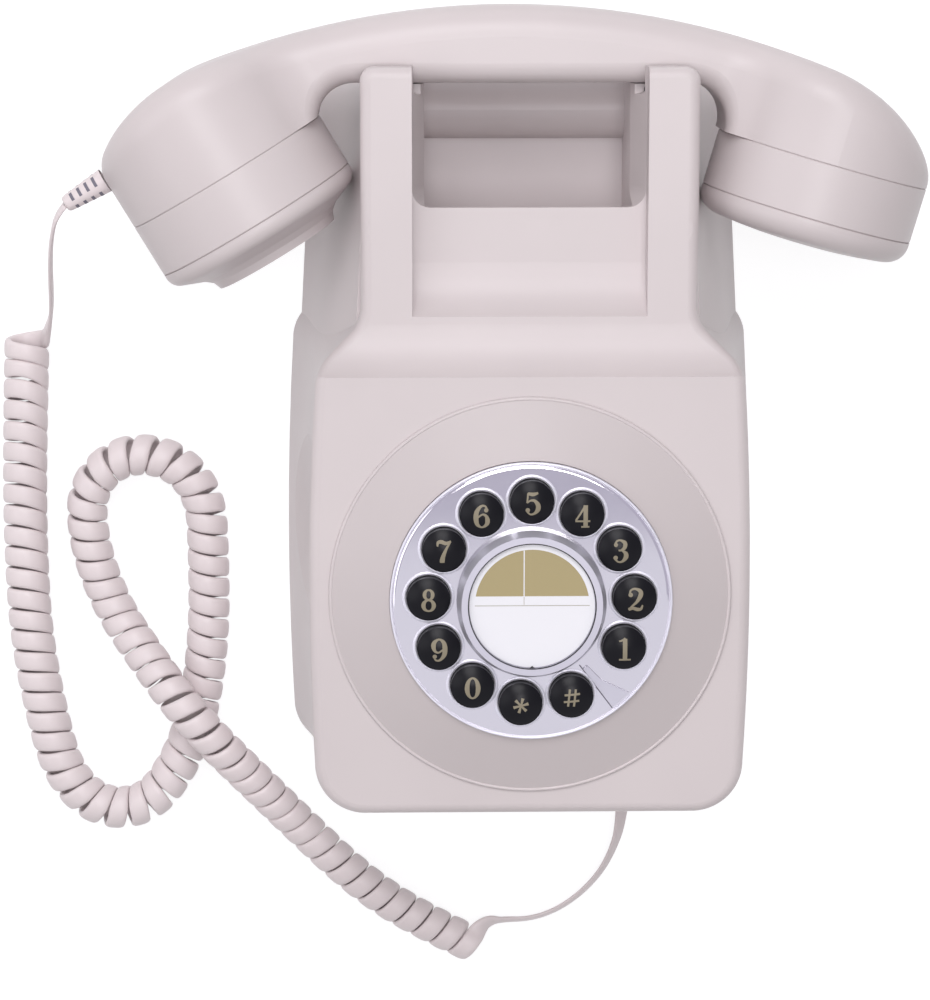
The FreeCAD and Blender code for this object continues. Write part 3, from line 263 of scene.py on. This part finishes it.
def spread(tree, fac, low, high, start=0.0, end=1.0):
    """Value that runs from low to high while fac runs from start to end."""
    node = add_node(tree, "ShaderNodeMapRange", From_Min=start, From_Max=end, To_Min=low, To_Max=high)
    tree.links.new(fac, node.inputs["Value"])
    return node.outputs["Result"]


def bump(tree, shader, height, strength, distance):
    node = add_node(tree, "ShaderNodeBump", Strength=strength, Distance=distance)
    tree.links.new(height, node.inputs["Height"])
    tree.links.new(node.outputs["Normal"], shader.inputs["Normal"])


def tint(color, factor):
    return tuple(min(1.0, c * factor) for c in color)


def moulded(name, color, rough_low, rough_high, grain=900.0, depth=0.00003, gloss=0.5):
    """Moulded plastic: faint cloudiness, a fine skin and uneven gloss."""
    tree, shader = new_material(name)
    shades = [tint(color, factor) for factor in CLOUD_TINTS]
    cloud = ramp(tree, noise(tree, CLOUD_SCALE, CLOUD_DETAIL), PATTERN_STOPS, shades)
    rough = spread(tree, noise(tree, GLOSS_SCALE), rough_low, rough_high)
    tree.links.new(cloud, shader.inputs["Base Color"])
    tree.links.new(rough, shader.inputs["Roughness"])
    bump(tree, shader, noise(tree, grain, SKIN_DETAIL), SKIN_STRENGTH, depth)
    shader.inputs["Specular IOR Level"].default_value = gloss


def polished(name, color, rough_low, rough_high, metallic=1.0):
    """Plated metal with a faint ripple and hairline wear."""
    tree, shader = new_material(name)
    wear = ramp(tree, noise(tree, WEAR_SCALE), PATTERN_STOPS, [tint(color, WEAR_TINT), color])
    rough = spread(tree, noise(tree, HAIRLINE_SCALE), rough_low, rough_high)
    tree.links.new(wear, shader.inputs["Base Color"])
    tree.links.new(rough, shader.inputs["Roughness"])
    bump(tree, shader, noise(tree, RIPPLE_SCALE, RIPPLE_DETAIL), RIPPLE_STRENGTH, RIPPLE_DEPTH)
    shader.inputs["Metallic"].default_value = metallic


def clear_plastic(name, color, alpha, gloss, rough_low, rough_high, grain):
    """Clear plastic with a slightly uneven polish."""
    tree, shader = new_material(name)
    shader.inputs["Base Color"].default_value = (*color, 1)
    shader.inputs["Alpha"].default_value = alpha
    shader.inputs["Specular IOR Level"].default_value = gloss
    tree.links.new(spread(tree, noise(tree, grain), rough_low, rough_high), shader.inputs["Roughness"])


def make_finishes():
    """One finish for each material of the part, and a few for its trim, its print and its painted shade and
    highlights.
    """
    moulded("ivory_shell", IVORY, 0.36, 0.44, gloss=0.45)
    moulded("ivory_ring", tint(IVORY, RING_TINT), 0.4, 0.48, gloss=0.4)
    moulded("ivory_cord", (0.745, 0.670, 0.675), 0.36, 0.44, grain=500.0, gloss=0.45)
    polished("bright_metal", (0.95, 0.93, 0.95), 0.04, 0.09)
    polished("satin_metal", (0.57, 0.56, 0.63), 0.32, 0.42, metallic=0.35)
    # painted highlight: a lighter copy of the satin metal, for the edges round the keys and the rim of the
    # disc
    polished("edge_highlight_metal", (0.80, 0.79, 0.87), 0.32, 0.42, metallic=0.35)
    # dark colour of painted shade, for the line beside the finger stop and the slots of the strain relief
    moulded("shade_line", (0.17, 0.16, 0.20), 0.5, 0.6)
    moulded("key_black", (0.006, 0.006, 0.008), 0.28, 0.36, gloss=0.2)
    moulded("label_card", (0.80, 0.80, 0.86), 0.5, 0.6)
    clear_plastic("clear_lens", (0.95, 0.95, 0.97), 0.05, 0.1, 0.03, 0.08, grain=120.0)
    moulded("plate_plastic", (0.52, 0.48, 0.46), 0.5, 0.62, grain=500.0, depth=0.0001)
    moulded("black_plastic", (0.02, 0.02, 0.022), 0.4, 0.5)
    moulded("rubber_mat", (0.06, 0.06, 0.06), 0.7, 0.85)
    moulded("circuit_board", (0.04, 0.16, 0.06), 0.4, 0.55)
    polished("steel", (0.60, 0.60, 0.62), 0.25, 0.4)
    moulded("weight_iron", (0.08, 0.08, 0.08), 0.6, 0.8)
    moulded("sound_parts", (0.04, 0.04, 0.04), 0.55, 0.7)
    moulded("key_ink", (0.265, 0.232, 0.165), 0.45, 0.55, gloss=0.3)
    moulded("gold_ink", (0.400, 0.325, 0.150), 0.45, 0.55, gloss=0.3)
    moulded("white_ink", (0.84, 0.84, 0.88), 0.5, 0.6)
    moulded("grey_ink", (0.40, 0.37, 0.30), 0.5, 0.6)


make_finishes()
for part in frame["record"]["subparts"]:
    finish = OWN_FINISH.get(part["node"], part["material_slot"])
    holder = nodes[part["node"]].data.materials
    holder.clear()
    holder.append(materials[finish])


# Pieces

def new_piece(name, bm, material, body):
    """Make an object from a bmesh, give it a material and set it on its body."""
    mesh = bpy.data.meshes.new(name)
    bm.to_mesh(mesh)
    bm.free()
    mesh.materials.append(materials[material])
    piece = bpy.data.objects.new(name, mesh)
    bpy.context.scene.collection.objects.link(piece)
    if body:
        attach(piece, body)
    return piece


def smooth(bm):
    for face in bm.faces:
        face.smooth = True


def skin(bm, rows):
    """Faces between neighbouring rows of points."""
    rows = [[bm.verts.new(point) for point in row] for row in rows]
    for a, b in zip(rows, rows[1:]):
        for i in range(len(a) - 1):
            bm.faces.new((a[i], a[i + 1], b[i + 1], b[i]))


# Cord

def spline_points(route):
    """Points along the smooth line that a route's points control, in millimetres."""
    curve = bpy.data.curves.new("route", "CURVE")
    curve.dimensions = "3D"
    curve.resolution_u = SPLINE_STEPS
    spline = curve.splines.new("NURBS")
    spline.points.add(len(route) - 1)
    for point, place in zip(spline.points, route):
        point.co = (*place, 1)
    spline.order_u = SPLINE_ORDER
    spline.use_endpoint_u = True
    holder = bpy.data.objects.new("route", curve)
    bpy.context.scene.collection.objects.link(holder)
    bpy.context.view_layer.update()
    mesh = bpy.data.meshes.new_from_object(holder)
    points = [v.co.copy() for v in mesh.vertices]
    bpy.data.objects.remove(holder)
    bpy.data.curves.remove(curve)
    bpy.data.meshes.remove(mesh)
    return points


def walk(points, count):
    """Evenly spaced places and directions along a line of points."""
    lengths = [0.0]
    for a, b in zip(points, points[1:]):
        lengths.append(lengths[-1] + (b - a).length)
    total = lengths[-1]
    found = []
    i = 0
    for k in range(count + 1):
        s = total * k / count
        while i < len(points) - 2 and lengths[i + 1] < s:
            i += 1
        share = (s - lengths[i]) / max(lengths[i + 1] - lengths[i], 1e-9)
        found.append(points[i].lerp(points[i + 1], share))
    ways = []
    for k in range(count + 1):
        ways.append((found[min(k + 1, count)] - found[max(k - 1, 0)]).normalized())
    return found, ways


def helix_rings():
    """Centre, width direction, width and thickness of the cord at each step of the wound stretch."""
    count = int(CURLS * CURL_STEPS)
    centres, ways = walk(spline_points(ROUTE_CURL), count)
    places = []
    for k, (centre, way) in enumerate(zip(centres, ways)):
        t = k / count
        outer = CURL_OUTER[0] + (CURL_OUTER[1] - CURL_OUTER[0]) * t
        radius = (outer - CORD_THICK) / 2
        lean = CURL_LEAN * max(0, 1 - LEAN_FADE * t) * min(1, LEAN_GROWTH * t)
        side = Vector((0, 0, 1)).cross(way).normalized()
        up = way.cross(side)
        angle = -2 * math.pi * CURLS * t
        rise = radius * math.sin(angle)
        places.append(centre + side * (radius * math.cos(angle)) + up * rise - way * (lean * rise))
    rings = []
    for k, place in enumerate(places):
        neighbours = [j for j in (k - CURL_STEPS, k + CURL_STEPS) if 0 <= j <= count]
        pitch = min((places[j] - place).length for j in neighbours)
        rings.append((place, ways[k], min(CORD_WIDTH, CURL_FILL * pitch), CORD_THICK))
    return rings


def lead_rings(route, start_way, end_first, twist):
    """Rings of a plain lead whose width direction is carried along from the wound stretch's end."""
    points, ways = walk(spline_points(route), LEAD_STEPS)
    order = range(len(points))
    if end_first:
        order = reversed(order)
    rings = []
    wide = start_way
    last = None
    for n, k in enumerate(order):
        t = n / LEAD_STEPS
        way = ways[k]
        if last is not None:
            wide = last.rotation_difference(way) @ wide
        last = way
        wide = (wide - way * wide.dot(way)).normalized()
        turned = Matrix.Rotation(twist(t), 3, way) @ wide
        full = max(0, 1 - t * LEAD_GROWTH)
        width = LEAD_WIDTH + (CORD_WIDTH - LEAD_WIDTH) * full
        thick = LEAD_THICK + (CORD_THICK - LEAD_THICK) * full
        rings.append((points[k], turned, width, thick))
    if end_first:
        rings.reverse()
    return rings


def handset_twist(t):
    """Turn of the upper lead: on edge all the way to the handset."""
    return HANDSET_TURN * min(1, t * LEAD_GROWTH)


def base_twist(t):
    """Turn of the lower lead: on edge along its run, partly flat again at the case."""
    back = max(0, (t - BASE_RETURN_START) / BASE_RETURN_SHARE) ** 2
    return BASE_TURN * min(1, t * BASE_TURN_GROWTH) - BASE_RETURN * back


def crowned_section(width, thick):
    """Flat section with rounded edges and crowned faces, as offsets across and through the cord."""
    points = []
    for i in range(SECTION_STEPS):
        x = math.cos(2 * math.pi * (i + 0.5) / SECTION_STEPS)
        y = math.sin(2 * math.pi * (i + 0.5) / SECTION_STEPS)
        across = width / 2 * math.copysign(abs(x) ** SECTION_POWERS[0], x)
        through = thick / 2 * math.copysign(abs(y) ** SECTION_POWERS[1], y)
        points.append((across, through))
    return points


def sweep(rings):
    """Closed skin through the rings of the cord."""
    bm = bmesh.new()
    loops = []
    places = [ring[0] for ring in rings]
    for k, (place, wide, width, thick) in enumerate(rings):
        way = (places[min(k + 1, len(places) - 1)] - places[max(k - 1, 0)]).normalized()
        wide = (wide - way * wide.dot(way)).normalized()
        through = way.cross(wide)
        section = crowned_section(width, thick)
        loops.append([bm.verts.new((place + wide * x + through * y) * MM) for x, y in section])
    for a, b in zip(loops, loops[1:]):
        for i in range(len(a)):
            j = (i + 1) % len(a)
            bm.faces.new((a[i], a[j], b[j], b[i]))
    bm.faces.new(list(reversed(loops[0])))
    bm.faces.new(loops[-1])
    bmesh.ops.recalc_face_normals(bm, faces=bm.faces)
    smooth(bm)
    return bm


def make_cord():
    """The handset cord: plain lead, wound stretch and plain lead, in one flat cord."""
    curls = helix_rings()
    handset = lead_rings(ROUTE_HANDSET_LEAD + [tuple(curls[0][0])], curls[0][1], True, handset_twist)
    base = lead_rings([tuple(curls[-1][0])] + ROUTE_BASE_LEAD, curls[-1][1], False, base_twist)
    rings = handset[:-1] + curls + base[1:]
    cord = new_piece("handset_cord", sweep(rings), "ivory_cord", None)
    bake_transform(cord)
    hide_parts("cord_handset_lead", "cord_curly", "cord_base_lead")


# Signs on the keys

def ring_points(x, y, half_x, half_y, thin, thick):
    """Closed stroke round an oval, thick at its sides."""
    points = []
    for i in range(OVAL_STEPS):
        angle = math.pi / 2 + 2 * math.pi * i / OVAL_STEPS
        width = thin + (thick - thin) * math.cos(angle) ** 2
        points.append((x + half_x * math.cos(angle), y + half_y * math.sin(angle), width))
    return points + points[:1]


def dot(x, y, half, width):
    return ring_points(x, y, half, half, width, width)


def spoke(degrees):
    """Stroke of the star, across its middle."""
    x = STAR_RADIUS * math.cos(math.radians(degrees))
    y = STAR_RADIUS * math.sin(math.radians(degrees))
    return [(x, y, 0.85), (0, 0, 0.5), (-x, -y, 0.85)]


# Each sign is a list of strokes, and each point of a stroke has a place and a width
SIX = [
    [(1.35, 2.0, 0.5), (0.8, 2.85, 0.5), (-0.3, 2.75, 0.7), (-1.4, 1.3, 1.2), (-1.6, -0.6, 1.35),
     (-1.2, -2.2, 1.0), (0, -2.95, 0.5), (1.2, -2.2, 1.0), (1.5, -1.1, 1.25), (1.1, 0.2, 0.8),
     (0.1, 0.6, 0.5), (-1.1, -0.2, 0.5)],
    dot(1.15, 1.75, 0.28, 0.6),
]
GLYPHS = {
    "0": [ring_points(0, 0, 1.5, 2.8, 0.5, 1.3)],
    "1": [
        [(0.1, 2.9, 1.2), (0.1, 0, 1.2), (0.1, -2.9, 1.2)],
        [(0.2, 3.0, 0.5), (-0.7, 2.45, 0.5), (-1.5, 2.2, 0.4)],
        [(-1.5, -2.95, 0.5), (0.1, -2.95, 0.5), (1.7, -2.95, 0.5)],
    ],
    "2": [
        [(-1.6, 1.4, 0.5), (-1.2, 2.6, 0.5), (0, 2.95, 0.6), (1.3, 2.3, 1.1), (1.35, 1.1, 1.25),
         (0.3, -0.6, 0.8), (-1.0, -1.9, 0.5), (-1.8, -2.9, 0.5)],
        [(-1.8, -2.75, 0.9), (-0.7, -2.35, 0.9), (0.5, -2.7, 1.0), (1.5, -2.6, 0.8), (1.95, -1.5, 0.4)],
        dot(-1.3, 1.35, 0.3, 0.6),
    ],
    "3": [
        [(-1.5, 1.8, 0.45), (-0.9, 2.75, 0.5), (0.1, 2.95, 0.55), (1.25, 2.2, 1.1), (1.1, 0.95, 1.0),
         (0.1, 0.3, 0.5), (-0.5, 0.3, 0.45)],
        [(-0.5, 0.3, 0.45), (0.5, 0.2, 0.5), (1.45, -0.6, 1.1), (1.5, -1.7, 1.25), (0.6, -2.8, 0.7),
         (-0.5, -2.95, 0.5), (-1.5, -2.1, 0.5)],
        dot(-1.2, 1.75, 0.27, 0.55),
        dot(-1.25, -1.8, 0.3, 0.6),
    ],
    "4": [
        [(0.7, 2.9, 0.6), (-0.6, 0.8, 0.5), (-1.9, -1.2, 0.5)],
        [(-2.0, -1.35, 0.5), (0, -1.35, 0.5), (2.0, -1.35, 0.5)],
        [(0.75, 2.95, 1.2), (0.75, 0, 1.2), (0.75, -2.9, 1.2)],
        [(-0.4, -2.95, 0.5), (0.75, -2.95, 0.5), (1.8, -2.95, 0.5)],
    ],
    "5": [
        [(-1.2, 2.7, 0.7), (0.2, 2.5, 0.95), (1.55, 2.85, 0.5)],
        [(-1.2, 2.8, 0.45), (-1.3, 1.5, 0.45), (-1.45, 0.2, 0.45)],
        [(-1.45, 0.2, 0.45), (-0.5, 0.85, 0.5), (0.6, 0.75, 0.8), (1.5, -0.4, 1.25), (1.45, -1.7, 1.25),
         (0.5, -2.75, 0.7), (-0.6, -2.95, 0.5), (-1.5, -2.1, 0.5)],
        dot(-1.25, -1.8, 0.3, 0.6),
    ],
    "6": SIX,
    "7": [
        [(-1.8, 1.5, 0.4), (-1.65, 2.5, 0.8), (-0.8, 2.75, 1.0), (0.4, 2.35, 0.9), (1.3, 2.6, 0.7),
         (1.8, 2.95, 0.4)],
        [(1.75, 2.8, 0.45), (0.6, 0.9, 0.7), (-0.2, -1.0, 1.1), (-0.5, -2.3, 1.35), (-0.5, -3.0, 1.2)],
    ],
    "8": [ring_points(0, 1.6, 1.1, 1.3, 0.5, 1.0), ring_points(0, -1.35, 1.4, 1.55, 0.55, 1.15)],
    "9": [[(-x, -y, width) for x, y, width in stroke] for stroke in SIX],
    "star": [spoke(75), spoke(15), spoke(135)],
    "hash": [
        [(-0.55, 2.4, 0.6), (-0.8, 0, 0.55), (-1.05, -2.4, 0.6)],
        [(1.05, 2.4, 0.6), (0.8, 0, 0.55), (0.55, -2.4, 0.6)],
        [(-2.0, 0.75, 0.6), (0.1, 0.95, 0.55), (2.2, 1.15, 0.6)],
        [(-2.2, -1.15, 0.6), (-0.1, -0.95, 0.55), (2.0, -0.75, 0.6)],
    ],
}


def smooth_stroke(points):
    """Smooth line through (x, y, width) points."""
    closed = points[0] == points[-1]
    before = points[-2] if closed else points[0]
    after = points[1] if closed else points[-1]
    p = [Vector(q) for q in [before] + points + [after]]
    found = []
    for i in range(1, len(p) - 2):
        for k in range(STROKE_STEPS):
            t = k / STROKE_STEPS
            found.append(0.5 * ((2 * p[i]) + (p[i + 1] - p[i - 1]) * t
                                + (2 * p[i - 1] - 5 * p[i] + 4 * p[i + 1] - p[i + 2]) * t * t
                                + (3 * p[i] - p[i - 1] - 3 * p[i + 1] + p[i + 2]) * t ** 3))
    found.append(p[-2])
    return found


def key_centre(index):
    angle = math.radians(KEY_FIRST + KEY_PITCH * index)
    return Vector((KEY_CIRCLE * math.cos(angle), DIAL_Y + KEY_CIRCLE * math.sin(angle), 0))


def make_sign(name, centre):
    """Printed sign on one key, laid on its dome."""
    bm = bmesh.new()
    ball = (KEY_RADIUS ** 2 + KEY_DOME ** 2) / (2 * KEY_DOME)

    def on_key(x, y):
        height = KEY_TOP + KEY_DOME - ball + math.sqrt(ball ** 2 - x * x - y * y) + INK_LIFT
        return (centre + Vector((x, y, height))) * MM

    for stroke in GLYPHS[name]:
        line = smooth_stroke(stroke)
        rows = []
        for k, q in enumerate(line):
            way = line[min(k + 1, len(line) - 1)] - line[max(k - 1, 0)]
            if stroke[0] == stroke[-1] and k in (0, len(line) - 1):
                way = line[1] - line[-2]
            across = Vector((-way.y, way.x)).normalized() * (q.z / 2)
            rows.append([on_key(q.x + across.x * s, q.y + across.y * s) for s in STROKE_ROWS])
        skin(bm, rows)
    smooth(bm)
    new_piece("sign_" + name, bm, "key_ink", "button_" + name)


# Strain relief of the handset

def boot_point(along, turn, proud):
    """Point on the strain relief's skin, from its length along the axis and a turn about it."""
    share = along / BOOT_LENGTH
    radius = BOOT_RADII[0] + (BOOT_RADII[1] - BOOT_RADII[0]) * share + proud
    side = Vector((0, 0, 1)).cross(BOOT_WAY)
    across = Vector((0, 0, 1)) * math.cos(turn) + side * math.sin(turn)
    return (BOOT_TIP - BOOT_WAY * (BOOT_LENGTH - along) + across * radius) * MM


def make_boot():
    """Smooth tapered strain relief."""
    turns = [2 * math.pi * i / BOOT_TURNS for i in range(BOOT_TURNS + 1)]
    bm = bmesh.new()
    skin(bm, [[boot_point(along, turn, inset) for turn in turns] for along, inset in BOOT_RINGS])
    bmesh.ops.remove_doubles(bm, verts=bm.verts, dist=BOOT_SEAM)
    smooth(bm)
    sleeve = new_piece("boot_sleeve", bm, "ivory_cord", "handset")
    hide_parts("cord_boot")


def make_boot_slot_shade():
    """Rows of short dark strips round the strain relief: painted shade standing for its slots."""
    bm = bmesh.new()
    for row in range(SLOT_ROWS):
        middle = SLOT_ROW_TURN + 360 / SLOT_ROWS * row
        turns = [math.radians(middle + step) for step in SLOT_ARC]
        for i in range(SLOTS_IN_ROW):
            along = SLOT_FIRST + SLOT_PITCH * i
            sides = (along - SLOT_HALF, along + SLOT_HALF)
            skin(bm, [[boot_point(side, turn, SLOT_LIFT) for turn in turns] for side in sides])
    new_piece("boot_slot_shade", bm, "shade_line", "handset")


# Loudspeaker dish

def make_dish_lip():
    """Strip that closes the thin crescent at the foot of the dish, on the dish's own ball."""
    ball = (DISH_RADIUS ** 2 + DISH_DEPTH ** 2) / (2 * DISH_DEPTH)
    rows = []
    for z in LIP_Z:
        row = []
        for y in LIP_Y:
            x = DISH_DEPTH - ball + math.sqrt(ball ** 2 - y * y - z * z) - LIP_LIFT
            row.append((DISH_CENTRE + Vector((x, y, z))) * MM)
        rows.append(row)
    bm = bmesh.new()
    skin(bm, rows)
    new_piece("dish_lip", bm, "ivory_shell", "case")


# Label and dial trim, with painted shadow lines and painted highlights

def lathe(profile, x, y, steps):
    """Ring turned about an upright axis from (radius, height) points."""
    bm = bmesh.new()
    loops = []
    for i in range(steps):
        turn = 2 * math.pi * i / steps
        places = [Vector((x + r * math.cos(turn), y + r * math.sin(turn), z)) for r, z in profile]
        loops.append([bm.verts.new(place * MM) for place in places])
    for i in range(steps):
        a = loops[i]
        b = loops[(i + 1) % steps]
        for k in range(len(profile) - 1):
            bm.faces.new((a[k], b[k], b[k + 1], a[k + 1]))
    smooth(bm)
    return bm


def bead_profile(radius, half, foot, height):
    """Half-round section of a raised bead."""
    turns = [math.pi * i / BEAD_STEPS for i in range(BEAD_STEPS + 1)]
    return [(radius + half * math.cos(turn), foot + height * math.sin(turn)) for turn in turns]


def flat_shape(name, points, z, material):
    """Thin shape laid on the label or the disc, placed from the dial's centre."""
    bm = bmesh.new()
    bm.faces.new([bm.verts.new((x * MM, (DIAL_Y + y) * MM, z * MM)) for x, y in points])
    new_piece(name, bm, material, "case")


def rectangle(x0, x1, y0, y1):
    return [(x0, y0), (x1, y0), (x1, y1), (x0, y1)]


def arc(radius, turns):
    return [(radius * math.cos(turn), radius * math.sin(turn)) for turn in turns]


def make_label():
    """Card print: a coloured upper segment with a divider, a plain band and a rule."""
    face_z, print_z, over_z = [CARD_TOP + layer for layer in LABEL_LAYERS]
    radius = LABEL_RADIUS - LABEL_MARGIN
    start = math.asin(SEGMENT_CHORD / radius)
    turns = [start + (math.pi - 2 * start) * i / SEGMENT_STEPS for i in range(SEGMENT_STEPS + 1)]
    round_turns = [2 * math.pi * i / LABEL_STEPS for i in range(LABEL_STEPS)]
    flat_shape("label_face", arc(LABEL_RADIUS, round_turns), face_z, "white_ink")
    flat_shape("label_segment", arc(radius, turns), print_z, "gold_ink")
    divider = rectangle(DIVIDER_X - DIVIDER_HALF, DIVIDER_X + DIVIDER_HALF, SEGMENT_CHORD, radius - PRINT_GAP)
    flat_shape("label_divider", divider, over_z, "white_ink")
    tick = rectangle(DIVIDER_X - TICK_HALF, DIVIDER_X + TICK_HALF, TICK_START, SEGMENT_CHORD - PRINT_GAP)
    flat_shape("label_tick", tick, print_z, "grey_ink")
    flat_shape("label_rule", rectangle(-radius, radius, 0.0, RULE_HEIGHT), print_z, "grey_ink")
    foot = -LABEL_RADIUS
    notch = [(-NOTCH_HALF, foot), (NOTCH_HALF, foot), (0.0, foot + NOTCH_HEIGHT)]
    flat_shape("label_notch", notch, LENS_TOP + LABEL_LAYERS[0], "black_plastic")


def make_key_edge_highlight(name, centre):
    """Bevelled edge of the disc round one key, in a lighter metal: a painted highlight."""
    profile = [(radius, DISC_TOP + rise) for radius, rise in KEY_EDGE]
    ring = lathe(profile, centre.x, centre.y, KEY_EDGE_STEPS)
    new_piece("key_edge_" + name, ring, "edge_highlight_metal", "case")


def make_stop_shadow_line():
    """Painted shadow: a dark line along one side of the finger stop."""
    angle = math.radians(STOP_ANGLE)
    way = Vector((math.cos(angle), math.sin(angle)))
    across = Vector((-way.y, way.x)) * STOP_SHADOW_HALF
    inner = way * STOP_RADII[0]
    outer = way * STOP_RADII[1]
    corners = [inner - across, outer - across, outer + across, inner + across]
    flat_shape("stop_shadow_line", corners, DISC_TOP + INK_LIFT, "shade_line")


def make_lens_gap():
    """Shadow line round the lens."""
    gap_z = LENS_TOP - LENS_GAP_DROP
    gap = lathe([(HUB_BORE, gap_z), (LABEL_RADIUS + LENS_PLAY, gap_z)], 0, DIAL_Y, LABEL_STEPS)
    new_piece("lens_gap", gap, "black_plastic", "case")


def make_disc_rim():
    """Rim of the disc, in a lighter metal: a painted highlight."""
    rim = lathe(bead_profile(*DISC_RIM), 0, DIAL_Y, BEAD_TURNS)
    new_piece("disc_rim", rim, "edge_highlight_metal", "case")


def make_dial_bead():
    """Raised bead round the dial."""
    bead = lathe(bead_profile(*DIAL_BEAD), 0, DIAL_Y, BEAD_TURNS)
    new_piece("dial_bead", bead, "ivory_shell", "case")


make_cord()
for i, key_name in enumerate(KEY_NAMES):
    make_sign(key_name, key_centre(i))
make_boot()
make_boot_slot_shade()
make_dish_lip()
make_label()
for i, key_name in enumerate(KEY_NAMES):
    make_key_edge_highlight(key_name, key_centre(i))
make_lens_gap()
make_disc_rim()
make_stop_shadow_line()
make_dial_bead()


# Stage

def make_floor():
    """Pale floor that looks white and throws a soft light back."""
    bm = bmesh.new()
    bmesh.ops.create_grid(bm, x_segments=1, y_segments=1, size=FLOOR_HALF)
    mesh = bpy.data.meshes.new("floor")
    bm.to_mesh(mesh)
    bm.free()
    floor = bpy.data.objects.new("floor", mesh)
    floor.location.z = -FLOOR_DROP
    bpy.context.scene.collection.objects.link(floor)
    material = bpy.data.materials.new("floor")
    material.use_nodes = True
    tree = material.node_tree
    tree.nodes.clear()
    out = tree.nodes.new("ShaderNodeOutputMaterial")
    rays = tree.nodes.new("ShaderNodeLightPath")
    plain = add_node(tree, "ShaderNodeBsdfDiffuse", Color=FLOOR_PLAIN)
    seen = add_node(tree, "ShaderNodeBsdfDiffuse", Color=FLOOR_SEEN)
    glow = add_node(tree, "ShaderNodeEmission", Color=(1, 1, 1, 1), Strength=FLOOR_GLOW)
    both = tree.nodes.new("ShaderNodeAddShader")
    mix = tree.nodes.new("ShaderNodeMixShader")
    looks = rays.outputs["Is Camera Ray"]
    for kind in ("Is Glossy Ray", "Is Transmission Ray"):
        either = add_node(tree, "ShaderNodeMath", operation="MAXIMUM")
        tree.links.new(looks, either.inputs[0])
        tree.links.new(rays.outputs[kind], either.inputs[1])
        looks = either.outputs[0]
    tree.links.new(seen.outputs[0], both.inputs[0])
    tree.links.new(glow.outputs[0], both.inputs[1])
    tree.links.new(looks, mix.inputs[0])
    tree.links.new(plain.outputs[0], mix.inputs[1])
    tree.links.new(both.outputs[0], mix.inputs[2])
    tree.links.new(mix.outputs[0], out.inputs["Surface"])
    mesh.materials.append(material)


def make_light(name, place, size, power, color):
    data = bpy.data.lights.new(name, "AREA")
    data.shape = "DISK"
    data.size = size
    data.energy = power
    data.color = color
    lamp = bpy.data.objects.new(name, data)
    lamp.location = place
    lamp.rotation_euler = (Vector(place) - LIGHT_TARGET).to_track_quat("Z", "Y").to_euler()
    bpy.context.scene.collection.objects.link(lamp)


def make_world():
    """Even soft light, with a darker patch overhead for mirrors to show."""
    world = bpy.data.worlds.new("studio")
    bpy.context.scene.world = world
    world.use_nodes = True
    tree = world.node_tree
    tree.nodes.clear()
    out = tree.nodes.new("ShaderNodeOutputWorld")
    rays = tree.nodes.new("ShaderNodeLightPath")
    place = tree.nodes.new("ShaderNodeTexCoord")
    split = tree.nodes.new("ShaderNodeSeparateXYZ")
    wave = add_node(tree, "ShaderNodeTexNoise", Scale=WAVE_SCALE, Detail=WAVE_DETAIL)
    wobble = add_node(tree, "ShaderNodeMath", operation="MULTIPLY_ADD")
    wobble.inputs[1].default_value = WAVE_HEIGHT
    even = add_node(tree, "ShaderNodeBackground", Color=ROOM_COLOR, Strength=ROOM_STRENGTH)
    mirror = add_node(tree, "ShaderNodeBackground", Strength=1.0)
    mix = tree.nodes.new("ShaderNodeMixShader")
    tree.links.new(place.outputs["Generated"], split.inputs[0])
    tree.links.new(place.outputs["Generated"], wave.inputs["Vector"])
    tree.links.new(wave.outputs["Fac"], wobble.inputs[0])
    tree.links.new(split.outputs["Y"], wobble.inputs[2])
    level = spread(tree, wobble.outputs[0], 0.0, 1.0, *MIRROR_EDGE)
    tree.links.new(ramp(tree, level, (0.0, 1.0), (MIRROR_LIGHT, MIRROR_DARK)), mirror.inputs["Color"])
    tree.links.new(rays.outputs["Is Glossy Ray"], mix.inputs[0])
    tree.links.new(even.outputs[0], mix.inputs[1])
    tree.links.new(mirror.outputs[0], mix.inputs[2])
    tree.links.new(mix.outputs[0], out.inputs["Surface"])


def make_camera():
    data = bpy.data.cameras.new("camera")
    data.sensor_width = CAMERA_SENSOR
    data.lens = CAMERA_LENS
    data.clip_start = CAMERA_NEAR
    camera = bpy.data.objects.new("camera", data)
    right = Vector((0, 1, 0)).cross(CAMERA_BACK).normalized()
    up = CAMERA_BACK.cross(right)
    turn = Matrix((right, up, CAMERA_BACK)).transposed().to_4x4()
    camera.matrix_world = Matrix.Translation(CAMERA_PLACE) @ turn
    bpy.context.scene.collection.objects.link(camera)
    bpy.context.scene.camera = camera


make_floor()
make_world()
for name, setting in LIGHTS.items():
    make_light(name, *setting)
make_camera()
bpy.context.scene.view_settings.view_transform = "Standard"
